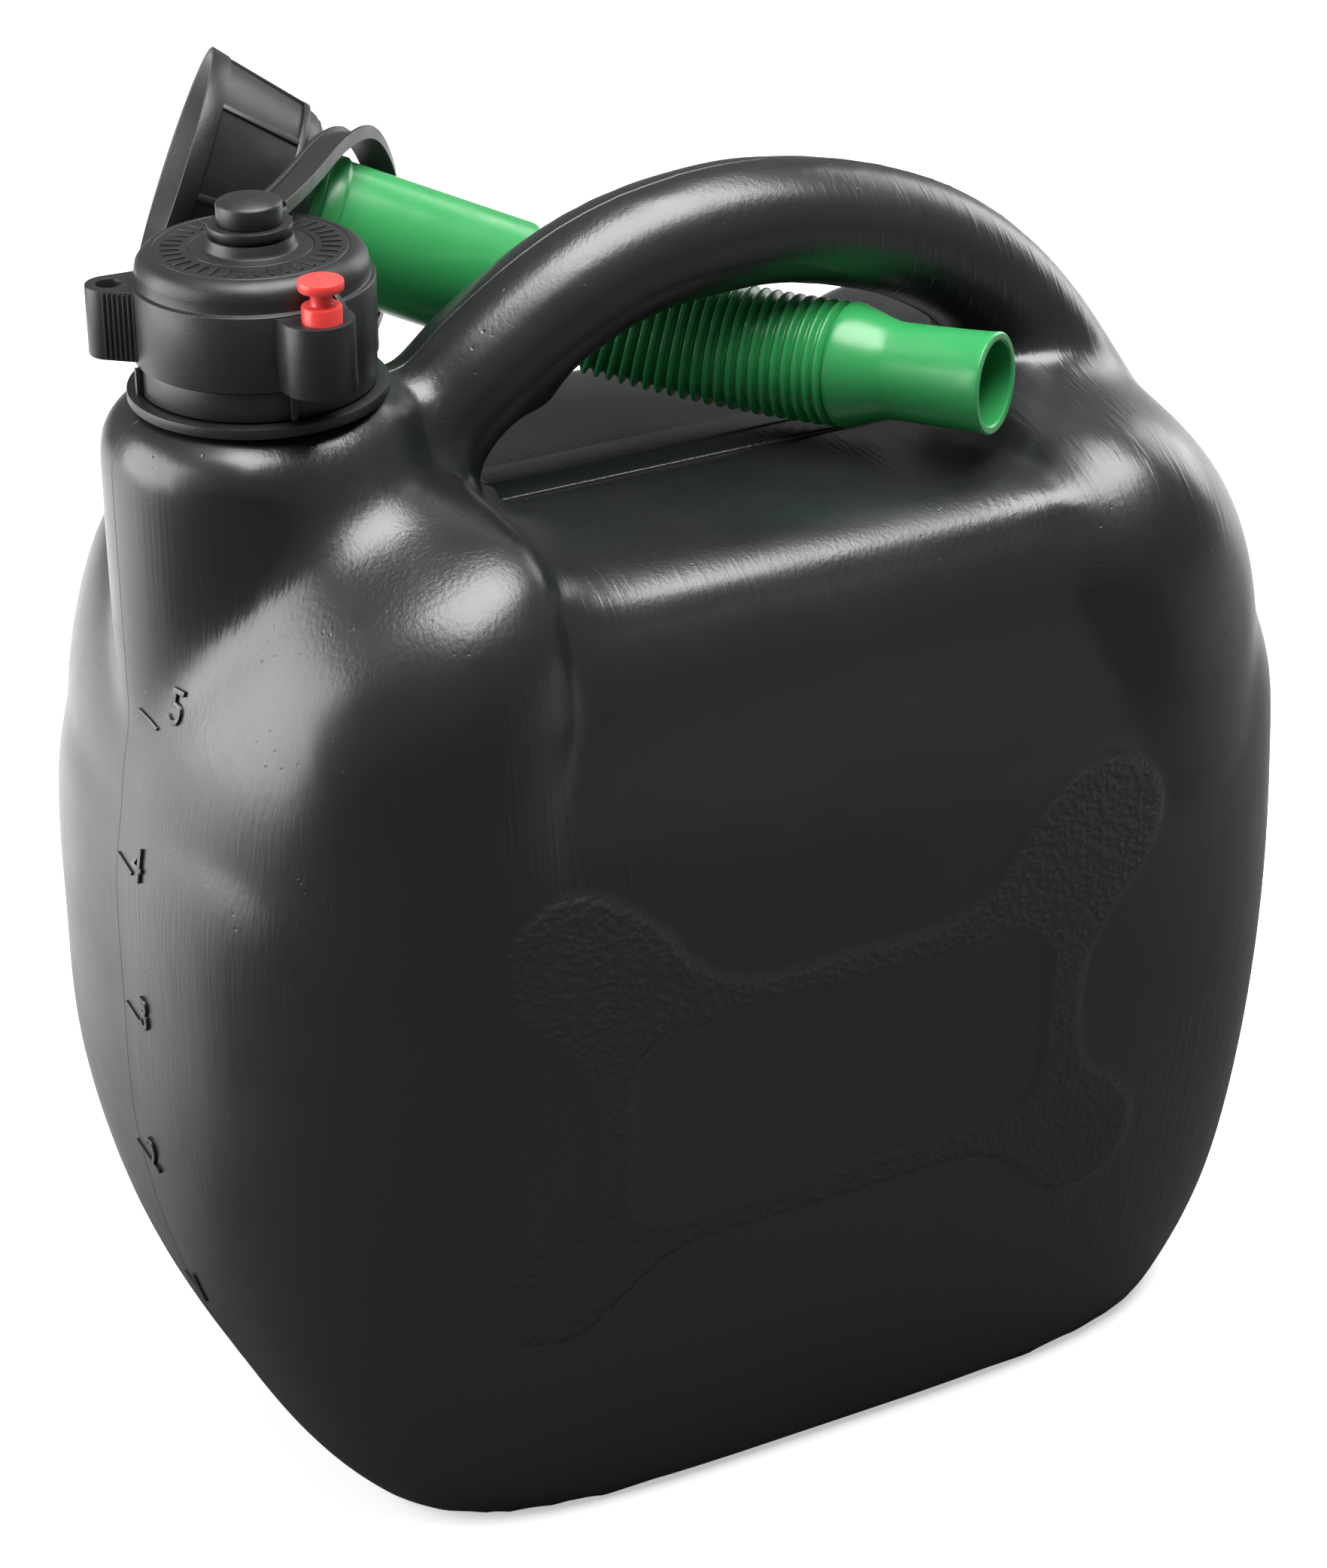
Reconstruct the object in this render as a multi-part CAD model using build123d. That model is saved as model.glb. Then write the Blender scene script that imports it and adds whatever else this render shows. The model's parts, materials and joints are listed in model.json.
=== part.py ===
from build123d import *
import math
import os

os.makedirs("parts", exist_ok=True)

# All sizes are in millimetres. Z is up and z = 0 is the floor. X runs along the can, from the neck (-X)
# to the rear of the handle (+X). The mould's parting plane is y = 0, and the grained panel faces -Y.

# Tank: overall sizes of the main body and its wall
body_front = 124.3
body_rear = 117.2
body_half_width = 73.0
saddle_height = 203.0
wall = 2.0
corner_power_share = 3.8
crown_power_share = 8.0
crown_start_share = 0.85

# Main body sections: height, front reach, rear reach and half width, each as a share of the size above
body_section_shares = [
    (0.0, 0.708, 0.857, 0.712),
    (0.012, 0.727, 0.870, 0.728),
    (0.035, 0.760, 0.890, 0.752),
    (0.090, 0.822, 0.930, 0.800),
    (0.150, 0.873, 0.962, 0.838),
    (0.222, 0.922, 0.984, 0.873),
    (0.330, 0.972, 0.998, 0.925),
    (0.443, 0.999, 1.0, 0.973),
    (0.560, 1.0, 0.998, 0.995),
    (0.680, 0.998, 0.990, 0.996),
    (0.745, 0.985, 0.980, 0.986),
    (0.813, 0.950, 0.940, 0.974),
    (0.877, 0.880, 0.860, 0.952),
    (0.916, 0.780, 0.770, 0.930),
    (0.946, 0.700, 0.710, 0.902),
    (0.968, 0.650, 0.675, 0.868),
    (0.984, 0.615, 0.650, 0.840),
    (0.993, 0.600, 0.640, 0.790),
    (1.0, 0.590, 0.630, 0.680),
]

# Front and rear domes, which stand proud of the saddle on both sides of the hand gap. Each is widest near
# the gap: a long round end faces out of the can, and a short steep one faces the gap.
dome_base = 112.0
dome_belly = 140.0
dome_half_width = 70.3
dome_base_share = 0.9
front_dome_x = -65.0
front_dome_out = 57.5
front_dome_in = 24.0
front_dome_top = 216.0
front_dome_power_share = 2.8
front_dome_width_power_share = 6.0
rear_dome_x = 66.0
rear_dome_out = 49.0
rear_dome_in = 27.0
rear_dome_top = 213.0
rear_dome_power_share = 2.3
rear_dome_width_power_share = 5.5
dome_rise_power_share = 2.3
dome_step_shares = [0.0, 0.18, 0.36, 0.52, 0.66, 0.78, 0.87, 0.94, 0.985]

# Neck column, its shoulder and the neck itself
neck_x = -89.5
column_radius = 29.7
column_base = 120.0
neck_rise = 28.5
shoulder_radius = 9.5
neck_radius = 17.0
neck_wall = 2.2
neck_length = 22.0

# Screw thread, the same on the neck, in the cap and in the spout's collar
thread_depth = 1.2
thread_pitch = 4.5
thread_width = 2.0
thread_turns_share = 2.0
thread_clearance = 0.35
thread_sink = 0.4

# Handle: centre line in the parting plane, as shares of its reach and of its rise above the saddle, and how
# its oval section swells into the rear dome. The hand gap leaves room for the stored spout.
handle_half_width = 13.2
handle_half_depth = 12.3
handle_reach = 93.0
spout_gap = 6.4
handle_path_shares = [
    (-0.651, -0.391),
    (-0.645, 0.0689),
    (-0.586, 0.3812),
    (-0.468, 0.5969),
    (-0.28, 0.841),
    (-0.07, 0.9773),
    (0.14, 1.0),
    (0.349, 0.9205),
    (0.548, 0.7615),
    (0.72, 0.5004),
    (0.849, 0.1257),
    (0.946, -0.3001),
    (1.0, -0.8054),
]
handle_width_shares = [1.0, 1.0, 1.0, 1.0, 1.0, 1.0, 1.0, 1.0, 1.03, 1.15, 1.5, 2.1, 2.8]
handle_depth_shares = [1.0, 1.0, 1.0, 1.0, 1.0, 1.0, 1.0, 1.0, 1.0, 1.02, 1.12, 1.3, 1.5]

# Finger stop under the front of the handle
finger_stop_x = -37.0
finger_stop_length = 15.0
finger_stop_width = 15.0
finger_stop_rise_share = 0.3341
finger_stop_height = 14.0
finger_stop_round = 4.0

# Clearances between pieces, and how far a cut runs past the face that it opens
seat_gap = 0.3
lip_gap = 0.1
overrun = 2.0

# Neck ring of the tether, lying loose on the shoulder
tether_ring_radius = 24.0
tether_ring_bore = 18.9
tether_ring_thickness = 2.0

# Threaded inner cap
insert_gap = 0.4
band_radius = 21.7
band_height = 5.4
insert_radius = 20.5
insert_top_radius = 19.6
insert_plate = 2.0
insert_step_drop = 5.2
band_rib_count = 4
band_rib_reach = 1.2
band_rib_width = 1.1
band_rib_angle = -96.6
gasket_thickness = 1.8
gasket_radius = 18.0
snap_bead = 0.25
snap_bead_height = 4.0

# Outer cap shell
cap_fit = 0.35
shell_wall = 1.4
shell_radius = 22.3
shell_top_radius = 21.3
shell_top_round = 3.6
shell_step_drop = 6.4
shell_step_rise = 1.6
shell_top_thickness = 1.8
shell_dish_radius = 17.75

# Lug that carries the safety pin
pin_angle = -86.0
pin_reach = 26.5
pin_lug_width = 13.4
pin_lug_height = 13.3
pin_lug_drop = 6.0
pin_lug_wall = 3.6
pin_body_radius = 3.65
pin_neck_radius = 2.0
pin_head_radius = 4.15
pin_head_thickness = 1.9
pin_neck_length = 2.8
pin_show = 3.0
pin_body_length = 14.0
pin_key_width = 3.0
pin_key_height = 3.0
pin_key_gap = 0.5
pin_slot_roof = 2.0

# Lug with an eye, for a seal or a cord
eye_angle = 157.4
eye_reach = 25.9
eye_tip_radius = 4.4
eye_hole_radius = 2.25
eye_root_width = 17.0
eye_lug_height = 13.4
eye_groove_count = 7
eye_groove_width = 0.5
eye_groove_depth = 0.5
eye_groove_pitch = 0.95
eye_groove_start_share = 0.5

# Domed rivet in the middle of the cap
button_radius = 6.05
button_height = 3.4
button_dome = 1.7
button_stem_radius = 3.4
button_foot_radius = 4.6
button_foot_thickness = 0.8

# Tether: eyelet, strap and the points that the strap runs through
eyelet_radius = 7.75
eyelet_bore = 3.8
eyelet_height = 2.2
boss_height = 2.2
eyelet_tab_angle = 45.0
eyelet_tab_reach = 9.9
ring_tab_angle = 46.9
ring_tab_reach = 27.5
strap_reach = 58.0
strap_width = 6.2
strap_thickness = 1.6
strap_rim_width = 1.1
strap_rim_height = 0.7

# Spout: where its mouth lies and how it runs through the hand gap
mouth_ahead = 8.0
mouth_y = 57.0
mouth_rise = 39.85
spout_plan_angle = -23.5
spout_dip_angle = 21.5
spout_bend_angle = 39.0
spout_roll_angle = 146.0
spout_straight = 71.7
bellows_length = 66.3
nozzle_length = 31.9
spout_wall = 1.3
tube_radius = 13.0

# Screw collar of the spout
collar_length = 25.5
collar_mouth_radius = 25.3
collar_back_radius = 19.6
collar_rim_length = 3.8
collar_rim_step = 0.7
collar_wall = 1.6
collar_thread_depth = 9.0
collar_shoulder = 2.0
collar_rib_count = 8
collar_rib_width = 1.4
collar_rib_height = 0.8
flange_radius = 17.6
flange_thickness = 1.8
collar_gasket_thickness = 1.6
nub_radius = 2.2
nub_angle = 150.0

# Bellows and nozzle
bellows_rib_count = 27
rib_rise_share = 0.35
rib_fall_share = 0.65
bellows_ridge_radius = 12.35
bellows_root_radius = 10.9
bellows_bore = 9.7
nozzle_cone_length = 10.5
nozzle_radius = 9.5
nozzle_end_radius = 10.0

# Heights that follow from the sizes above
shoulder_height = saddle_height + neck_rise
handle_rise = handle_half_depth + 2 * bellows_ridge_radius + spout_gap
finger_stop_bottom = saddle_height + finger_stop_rise_share * handle_rise
mouth_x = neck_x + mouth_ahead
mouth_z = saddle_height + bellows_ridge_radius + mouth_rise

# Number of points on one section curve
section_points = 32


def superellipse(x_centre, front, rear, half_width, power, z):
    """One closed level section: rounded rectangle whose corners sharpen with the power."""
    points = []
    for i in range(section_points):
        t = 2 * math.pi * i / section_points
        c = math.cos(t)
        s = math.sin(t)
        reach = rear if c > 0 else front
        x = x_centre + reach * math.copysign(abs(c) ** (2 / power), c)
        y = half_width * math.copysign(abs(s) ** (2 / power), s)
        points.append(Vector(x, y, z))
    return make_face(Spline(*points, periodic=True))


def main_body(inset):
    """The lower body with its tapering sides, closed over the top as the saddle of the hand gap."""
    sections = []
    for height, front, rear, half in body_section_shares:
        power = corner_power_share
        if height > crown_start_share:
            blend = (height - crown_start_share) / (1 - crown_start_share)
            power = corner_power_share + blend * (crown_power_share - corner_power_share)
        z = inset + height * (saddle_height - 2 * inset)
        sections.append(
            superellipse(
                0,
                front * body_front - inset,
                rear * body_rear - inset,
                half * body_half_width - inset,
                power,
                z,
            )
        )
    return loft(sections)


def dome(x_centre, front, rear, top, power, width_power, inset):
    """A shoulder of the can: a squared half egg standing in the body, its width keeping up longest."""
    sections = [
        superellipse(
            x_centre,
            dome_base_share * (front - inset),
            dome_base_share * (rear - inset),
            dome_base_share * (dome_half_width - inset),
            power,
            dome_base + inset,
        )
    ]
    rise = top - inset - dome_belly
    for step in dome_step_shares:
        keep = (1 - step ** dome_rise_power_share) ** (1 / dome_rise_power_share)
        keep_width = (1 - step ** width_power) ** (1 / width_power)
        sections.append(
            superellipse(
                x_centre,
                keep * (front - inset),
                keep * (rear - inset),
                keep_width * (dome_half_width - inset),
                power,
                dome_belly + step * rise,
            )
        )
    return loft(sections)


def handle_tube(inset):
    """The hollow carrying handle as one tube of oval section, swelling into the rear dome."""
    sections = []
    path = [(x * handle_reach, saddle_height + z * handle_rise) for x, z in handle_path_shares]
    last = len(path) - 1
    for i, (x, z) in enumerate(path):
        before = path[max(i - 1, 0)]
        after = path[min(i + 1, last)]
        tangent = Vector(after[0] - before[0], 0, after[1] - before[1])
        plane = Plane(origin=(x, 0, z), x_dir=(0, 1, 0), z_dir=tangent)
        half_width = handle_width_shares[i] * handle_half_width - inset
        half_depth = handle_depth_shares[i] * handle_half_depth - inset
        oval = Ellipse(half_width, half_depth)
        sections.append(plane * oval)
    return loft(sections)


def tank_form(inset):
    """The whole outside of the tank, or its inside when the inset is the wall."""
    form = main_body(inset)
    form += dome(
        front_dome_x,
        front_dome_out,
        front_dome_in,
        front_dome_top,
        front_dome_power_share,
        front_dome_width_power_share,
        inset,
    )
    form += dome(
        rear_dome_x,
        rear_dome_in,
        rear_dome_out,
        rear_dome_top,
        rear_dome_power_share,
        rear_dome_width_power_share,
        inset,
    )
    column_height = shoulder_height - column_base - 2 * inset
    column = Pos(neck_x, 0, column_base + inset) * Cylinder(
        column_radius - inset,
        column_height,
        align=(Align.CENTER, Align.CENTER, Align.MIN),
    )
    column = fillet(column.edges().group_by(Axis.Z)[-1], shoulder_radius - inset)
    form += column
    form += handle_tube(inset)
    return form


def column_solid(radius, base, top):
    """An upright cylinder on the neck's axis."""
    return Pos(neck_x, 0, base) * Cylinder(
        radius, top - base, align=(Align.CENTER, Align.CENTER, Align.MIN)
    )


def turned(points):
    """A solid of revolution about the neck's axis from (radius, height) points."""
    profile = Plane.XZ * make_face(Polyline(*points, close=True))
    return Pos(neck_x, 0, 0) * revolve(profile, Axis.Z)


def thread(root_radius, depth, turns, start):
    """One helical ridge about the Z axis. A negative depth stands inwards."""
    sink = -math.copysign(thread_sink, depth)
    half_root = thread_width / 2
    half_crest = thread_width / 4
    path = Pos(0, 0, start) * Helix(thread_pitch, turns * thread_pitch, root_radius)
    profile = Plane.XZ * make_face(
        Polyline(
            (root_radius + sink, start - half_root),
            (root_radius, start - half_root),
            (root_radius + depth, start - half_crest),
            (root_radius + depth, start + half_crest),
            (root_radius, start + half_root),
            (root_radius + sink, start + half_root),
            close=True,
        )
    )
    return sweep(profile, path=path, is_frenet=True)


def cap_plane(angle, reach, z):
    """A level plane on the cap, its X pointing away from the cap's axis."""
    a = math.radians(angle)
    return Plane(
        origin=(neck_x + reach * math.cos(a), reach * math.sin(a), z),
        x_dir=(math.cos(a), math.sin(a), 0),
        z_dir=(0, 0, 1),
    )


# Heights on the neck and the cap, from the shoulder up
neck_top = shoulder_height + neck_length
ring_bottom = shoulder_height + seat_gap
ring_top = ring_bottom + tether_ring_thickness
band_bottom = ring_top + insert_gap
band_top = band_bottom + band_height
plate_bottom = neck_top + lip_gap + gasket_thickness
plate_top = plate_bottom + insert_plate
shell_bottom = band_top + seat_gap
shell_ceiling = plate_top + 2 * seat_gap
shell_top = shell_ceiling + shell_top_thickness
thread_radius = neck_radius + thread_depth
screw_bore = thread_radius + thread_clearance

# Tank with its hollow handle, neck and thread in one moulding
outside = tank_form(0)
finger_stop = Pos(finger_stop_x, 0, finger_stop_bottom) * Box(
    finger_stop_length,
    finger_stop_width,
    finger_stop_height,
    align=(Align.CENTER, Align.CENTER, Align.MIN),
)
finger_stop = fillet(finger_stop.edges().group_by(Axis.Z)[0], finger_stop_round)
outside += finger_stop
tank = outside - tank_form(wall)
tank += column_solid(neck_radius, shoulder_height - wall, neck_top)
tank -= column_solid(neck_radius - neck_wall, shoulder_height - 2 * shoulder_radius, neck_top + overrun)
neck_thread_start = thread_pitch + thread_width
tank += Pos(neck_x, 0, shoulder_height) * thread(
    neck_radius, thread_depth, thread_turns_share, neck_thread_start
)
export_step(tank, "parts/tank.step")

# Loose ring of the tether under the cap
tether_ring = turned(
    [
        (tether_ring_bore, ring_bottom),
        (tether_ring_radius, ring_bottom),
        (tether_ring_radius, ring_top),
        (tether_ring_bore, ring_top),
    ]
)
tether_ring += cap_plane(ring_tab_angle, tether_ring_radius - wall, ring_bottom) * Box(
    ring_tab_reach - tether_ring_radius + wall,
    strap_width,
    tether_ring_thickness,
    align=(Align.MIN, Align.CENTER, Align.MIN),
)
export_step(tether_ring, "parts/tether_ring.step")

# Inner cap with its band, ribs, snap bead and thread
step_height = plate_top - insert_step_drop
bead_middle = shell_bottom + snap_bead_height
cap_insert = turned(
    [
        (screw_bore, band_bottom),
        (band_radius, band_bottom),
        (band_radius, band_top),
        (insert_radius, band_top),
        (insert_radius, bead_middle - snap_bead),
        (insert_radius + snap_bead, bead_middle),
        (insert_radius, bead_middle + snap_bead),
        (insert_radius, step_height),
        (insert_top_radius, step_height + insert_radius - insert_top_radius),
        (insert_top_radius, plate_top),
        (0, plate_top),
        (0, plate_bottom),
        (screw_bore, plate_bottom),
    ]
)
for i in range(band_rib_count):
    rib_plane = cap_plane(band_rib_angle + i * 360 / band_rib_count, band_radius, band_bottom)
    cap_insert += rib_plane * Box(
        2 * band_rib_reach,
        band_rib_width,
        band_height,
        align=(Align.CENTER, Align.CENTER, Align.MIN),
    )
insert_thread_start = band_bottom - shoulder_height + thread_width
insert_thread_start += (neck_thread_start - insert_thread_start + thread_pitch / 2) % thread_pitch
cap_insert += Pos(neck_x, 0, shoulder_height) * thread(
    screw_bore, -thread_depth, thread_turns_share / 2, insert_thread_start
)
export_step(cap_insert, "parts/cap_insert.step")

# Sealing disc under the plate of the inner cap
cap_gasket = column_solid(gasket_radius, plate_bottom - gasket_thickness, plate_bottom)
export_step(cap_gasket, "parts/cap_gasket.step")

# Outer shell of the cap: turned body, boss for the eyelet and two lugs
shell_inner = insert_radius + cap_fit
shell_top_inner = insert_top_radius + cap_fit
shell_step_top = shell_top - shell_step_drop + shell_step_rise
boss_top = shell_top + boss_height
shell_profile = [
    (shell_inner, shell_bottom),
    (shell_radius, shell_bottom),
    (shell_radius, shell_top - shell_step_drop),
    (shell_top_radius, shell_step_top),
    (shell_top_radius, shell_top),
    (shell_dish_radius / 2, shell_top),
    (eyelet_radius, boss_top),
    (0, boss_top),
    (0, shell_ceiling),
    (shell_top_inner, shell_ceiling),
    (shell_top_inner, step_height + insert_radius - insert_top_radius + seat_gap),
    (shell_inner, step_height + seat_gap),
]
cap_shell = turned(shell_profile)
rim_edges = cap_shell.edges().filter_by(GeomType.CIRCLE).filter_by(
    lambda e: abs(e.radius - shell_top_radius) < seat_gap / 10 and e.center().Z > shell_top - seat_gap
)
cap_shell = fillet(rim_edges, shell_top_round)
groove_band = turned(
    [
        (shell_inner - snap_bead, bead_middle - 2 * snap_bead),
        (shell_inner, bead_middle - 2 * snap_bead),
        (shell_inner + snap_bead, bead_middle - snap_bead),
        (shell_inner + snap_bead, bead_middle + snap_bead),
        (shell_inner, bead_middle + 2 * snap_bead),
        (shell_inner - snap_bead, bead_middle + 2 * snap_bead),
    ]
)
cap_shell -= groove_band

lug_top = shell_top - pin_lug_drop
pin_plane = cap_plane(pin_angle, 0, lug_top - pin_lug_height)
lug_half = pin_lug_width / 2
lug_middle = pin_reach - pin_body_radius + pin_lug_wall / 2
pin_lug = pin_plane * extrude(
    Pos(lug_middle / 2, 0) * Rectangle(lug_middle, pin_lug_width) + Pos(lug_middle, 0) * Circle(lug_half),
    pin_lug_height,
)
eye_plane = cap_plane(eye_angle, 0, lug_top - eye_lug_height)
eye_middle = eye_reach / 2
eye_outline = make_hull(
    (Pos(eye_reach, 0) * Circle(eye_tip_radius)).edges()
    + (Pos(eye_middle, 0) * Circle(eye_root_width / 2)).edges()
)
eye_lug = eye_plane * extrude(eye_outline, eye_lug_height)
lug_clear = column_solid(shell_radius - shell_wall / 2, band_bottom, shell_top)
cap_shell += pin_lug - lug_clear
cap_shell += eye_lug - lug_clear
pin_hole = cap_plane(pin_angle, pin_reach, lug_top - pin_lug_height - overrun) * Cylinder(
    pin_body_radius + lip_gap,
    pin_lug_height + 2 * overrun,
    align=(Align.CENTER, Align.CENTER, Align.MIN),
)
key_reach = band_radius + pin_key_gap
key_length = pin_reach - key_reach
key_slot = cap_plane(pin_angle, key_reach - lip_gap, lug_top - pin_lug_height - overrun) * Box(
    key_length,
    pin_key_width + 2 * lip_gap,
    pin_lug_height + overrun - pin_slot_roof,
    align=(Align.MIN, Align.CENTER, Align.MIN),
)
cap_shell -= pin_hole
cap_shell -= key_slot
cap_shell -= cap_plane(eye_angle, eye_reach, lug_top - eye_lug_height - overrun) * Cylinder(
    eye_hole_radius, eye_lug_height + 2 * overrun, align=(Align.CENTER, Align.CENTER, Align.MIN)
)
taper = math.asin((eye_root_width / 2 - eye_tip_radius) / (eye_reach - eye_middle))
flank_plane = Plane(
    origin=eye_plane.from_local_coords(
        (eye_reach + eye_tip_radius * math.sin(taper), eye_tip_radius * math.cos(taper), 0)
    ),
    x_dir=eye_plane.x_dir.rotate(Axis.Z, -math.degrees(taper)).reverse(),
    z_dir=(0, 0, 1),
)
for i in range(eye_groove_count):
    along = (i + eye_groove_start_share) * eye_groove_pitch
    cap_shell -= flank_plane * Pos(along, 0, 0) * Box(
        eye_groove_width,
        2 * eye_groove_depth,
        eye_lug_height,
        align=(Align.CENTER, Align.CENTER, Align.MIN),
    )
rivet_recess = column_solid(button_foot_radius + lip_gap, shell_ceiling - seat_gap, shell_top)
cap_shell -= rivet_recess
cap_shell -= column_solid(button_stem_radius + lip_gap, shell_ceiling, boss_top + overrun)
export_step(cap_shell, "parts/cap_shell.step")

# Red safety pin: a spool whose foot carries a key for the ribs of the band
pin_top = lug_top + pin_show
pin_bottom = pin_top - pin_body_length
pin_points = [
    (0, pin_bottom),
    (pin_body_radius, pin_bottom),
    (pin_body_radius, pin_top),
    (pin_neck_radius, pin_top),
    (pin_neck_radius, pin_top + pin_neck_length),
    (pin_head_radius, pin_top + pin_neck_length),
    (pin_head_radius, pin_top + pin_neck_length + pin_head_thickness),
    (0, pin_top + pin_neck_length + pin_head_thickness),
]
safety_pin = cap_plane(pin_angle, pin_reach, 0) * revolve(
    Plane.XZ * make_face(Polyline(*pin_points, close=True)), Axis.Z
)
safety_pin += cap_plane(pin_angle, key_reach, pin_bottom) * Box(
    key_length,
    pin_key_width,
    pin_key_height,
    align=(Align.MIN, Align.CENTER, Align.MIN),
)
export_step(safety_pin, "parts/safety_pin.step")

# Eyelet of the tether on its boss, and the domed rivet that holds it
eyelet_bottom = boss_top + lip_gap
eyelet_top = eyelet_bottom + eyelet_height
tether_eyelet = turned(
    [
        (eyelet_bore, eyelet_bottom),
        (eyelet_radius, eyelet_bottom),
        (eyelet_radius, eyelet_top),
        (eyelet_bore, eyelet_top),
    ]
)
tether_eyelet += cap_plane(eyelet_tab_angle, eyelet_radius - wall, eyelet_bottom) * Box(
    eyelet_tab_reach - eyelet_radius + wall,
    strap_width,
    eyelet_height,
    align=(Align.MIN, Align.CENTER, Align.MIN),
)
export_step(tether_eyelet, "parts/tether_eyelet.step")

button_bottom = eyelet_top + lip_gap
button_edge = button_bottom + button_height
foot_bottom = shell_top - button_foot_thickness - lip_gap
dome_sweep = (button_radius ** 2 + button_dome ** 2) / (2 * button_dome)
dome_middle = math.asin(button_radius / dome_sweep) / 2
button_outline = Polyline(
    (0, foot_bottom),
    (button_foot_radius, foot_bottom),
    (button_foot_radius, foot_bottom + button_foot_thickness),
    (button_stem_radius, foot_bottom + button_foot_thickness),
    (button_stem_radius, button_bottom),
    (button_radius, button_bottom),
    (button_radius, button_edge),
)
button_arc = ThreePointArc(
    (button_radius, button_edge),
    (
        dome_sweep * math.sin(dome_middle),
        button_edge + button_dome - dome_sweep * (1 - math.cos(dome_middle)),
    ),
    (0, button_edge + button_dome),
)
button_axis = Line((0, button_edge + button_dome), (0, foot_bottom))
button_face = make_face(Curve() + [button_outline, button_arc, button_axis])
cap_button = Pos(neck_x, 0, 0) * revolve(Plane.XZ * button_face, Axis.Z)
export_step(cap_button, "parts/cap_button.step")


def spout_frame():
    """Where the spout's mouth lies: X is level, Y points up and Z runs down the spout."""
    plan = math.radians(spout_plan_angle)
    dip = math.radians(spout_dip_angle)
    run = (math.cos(dip) * math.cos(plan), math.cos(dip) * math.sin(plan), -math.sin(dip))
    level = (-math.sin(plan), math.cos(plan), 0)
    return Plane(origin=(mouth_x, mouth_y, mouth_z), x_dir=level, z_dir=run)


mouth = spout_frame()
roll = math.radians(spout_roll_angle)
bend = math.radians(spout_bend_angle)
bend_radius = bellows_length / bend
run_dir = mouth.z_dir
lean_dir = mouth.x_dir * math.cos(roll) + mouth.y_dir * math.sin(roll)
hinge_dir = run_dir.cross(lean_dir)


def spout_plane(s):
    """The plane square to the spout at the distance s from its mouth, with a steady X axis."""
    if s <= spout_straight:
        origin = mouth.origin + run_dir * s
        tangent = run_dir
    else:
        t = min((s - spout_straight) / bend_radius, bend)
        origin = mouth.origin + run_dir * (spout_straight + bend_radius * math.sin(t))
        origin += lean_dir * (bend_radius * (1 - math.cos(t)))
        tangent = run_dir * math.cos(t) + lean_dir * math.sin(t)
        origin += tangent * max(s - spout_straight - bellows_length, 0)
    return Plane(origin=origin, x_dir=hinge_dir, z_dir=tangent)


def on_spout(points):
    """A solid of revolution about the spout's straight run from (radius, distance) points."""
    return spout_plane(0) * revolve(Plane.XZ * make_face(Polyline(*points, close=True)), Axis.Z)


# Screw collar: flared skirt with a rim, panels between ribs, thread and a shoulder behind the flange
flange_back = collar_length - collar_wall - seat_gap
flange_front = flange_back - flange_thickness
collar_taper = (collar_mouth_radius - collar_back_radius) / collar_length
rim_back_radius = collar_mouth_radius - collar_rim_length * collar_taper
skirt_radius = rim_back_radius - collar_rim_step
back_edge = collar_length - collar_shoulder
collar_hole = tube_radius + cap_fit
spout_collar = on_spout(
    [
        (collar_mouth_radius, 0),
        (rim_back_radius, collar_rim_length),
        (skirt_radius, collar_rim_length),
        (collar_back_radius, back_edge),
        (collar_back_radius - collar_shoulder, collar_length),
        (collar_hole, collar_length),
        (collar_hole, collar_length - collar_wall),
        (screw_bore, collar_length - collar_wall),
        (screw_bore, collar_thread_depth),
        (skirt_radius - collar_wall, collar_rim_length),
        (collar_mouth_radius - collar_wall, 0),
    ]
)
for i in range(collar_rib_count):
    turn = Rot(0, 0, i * 360 / collar_rib_count)
    rib_start = spout_plane(collar_rim_length) * turn
    rib_end = spout_plane(back_edge) * turn
    low = collar_rib_height
    rib = loft(
        [
            rib_start * Pos(skirt_radius, 0) * Rectangle(2 * low, collar_rib_width),
            rib_end * Pos(collar_back_radius - low / 2, 0) * Rectangle(low, collar_rib_width),
        ]
    )
    spout_collar += rib
spout_collar += spout_plane(0) * thread(
    screw_bore, -thread_depth, thread_turns_share / 2, collar_thread_depth + thread_width
)
export_step(spout_collar, "parts/spout_collar.step")

# Sealing ring in front of the flange
spout_gasket = on_spout(
    [
        (tube_radius - spout_wall, flange_front - collar_gasket_thickness),
        (flange_radius, flange_front - collar_gasket_thickness),
        (flange_radius, flange_front),
        (tube_radius - spout_wall, flange_front),
    ]
)
export_step(spout_gasket, "parts/spout_gasket.step")

# Straight tube of the spout with its flange and the round nub that stops the collar
tube_end = spout_straight - tube_radius + bellows_root_radius
spout_tube = on_spout(
    [
        (tube_radius - spout_wall, flange_front),
        (flange_radius, flange_front),
        (flange_radius, flange_back),
        (tube_radius, flange_back),
        (tube_radius, tube_end),
        (bellows_root_radius, spout_straight),
        (bellows_bore, spout_straight),
        (tube_radius - spout_wall, tube_end - spout_wall),
    ]
)
nub_place = spout_plane(collar_length + nub_radius + seat_gap) * Rot(0, 0, nub_angle)
nub = nub_place * Pos(tube_radius, 0, 0) * Sphere(nub_radius)
bore_clear = on_spout(
    [
        (0, 0),
        (tube_radius - spout_wall, 0),
        (tube_radius - spout_wall, tube_end - spout_wall),
        (0, tube_end - spout_wall),
    ]
)
spout_tube += nub - bore_clear
export_step(spout_tube, "parts/spout_tube.step")

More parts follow.
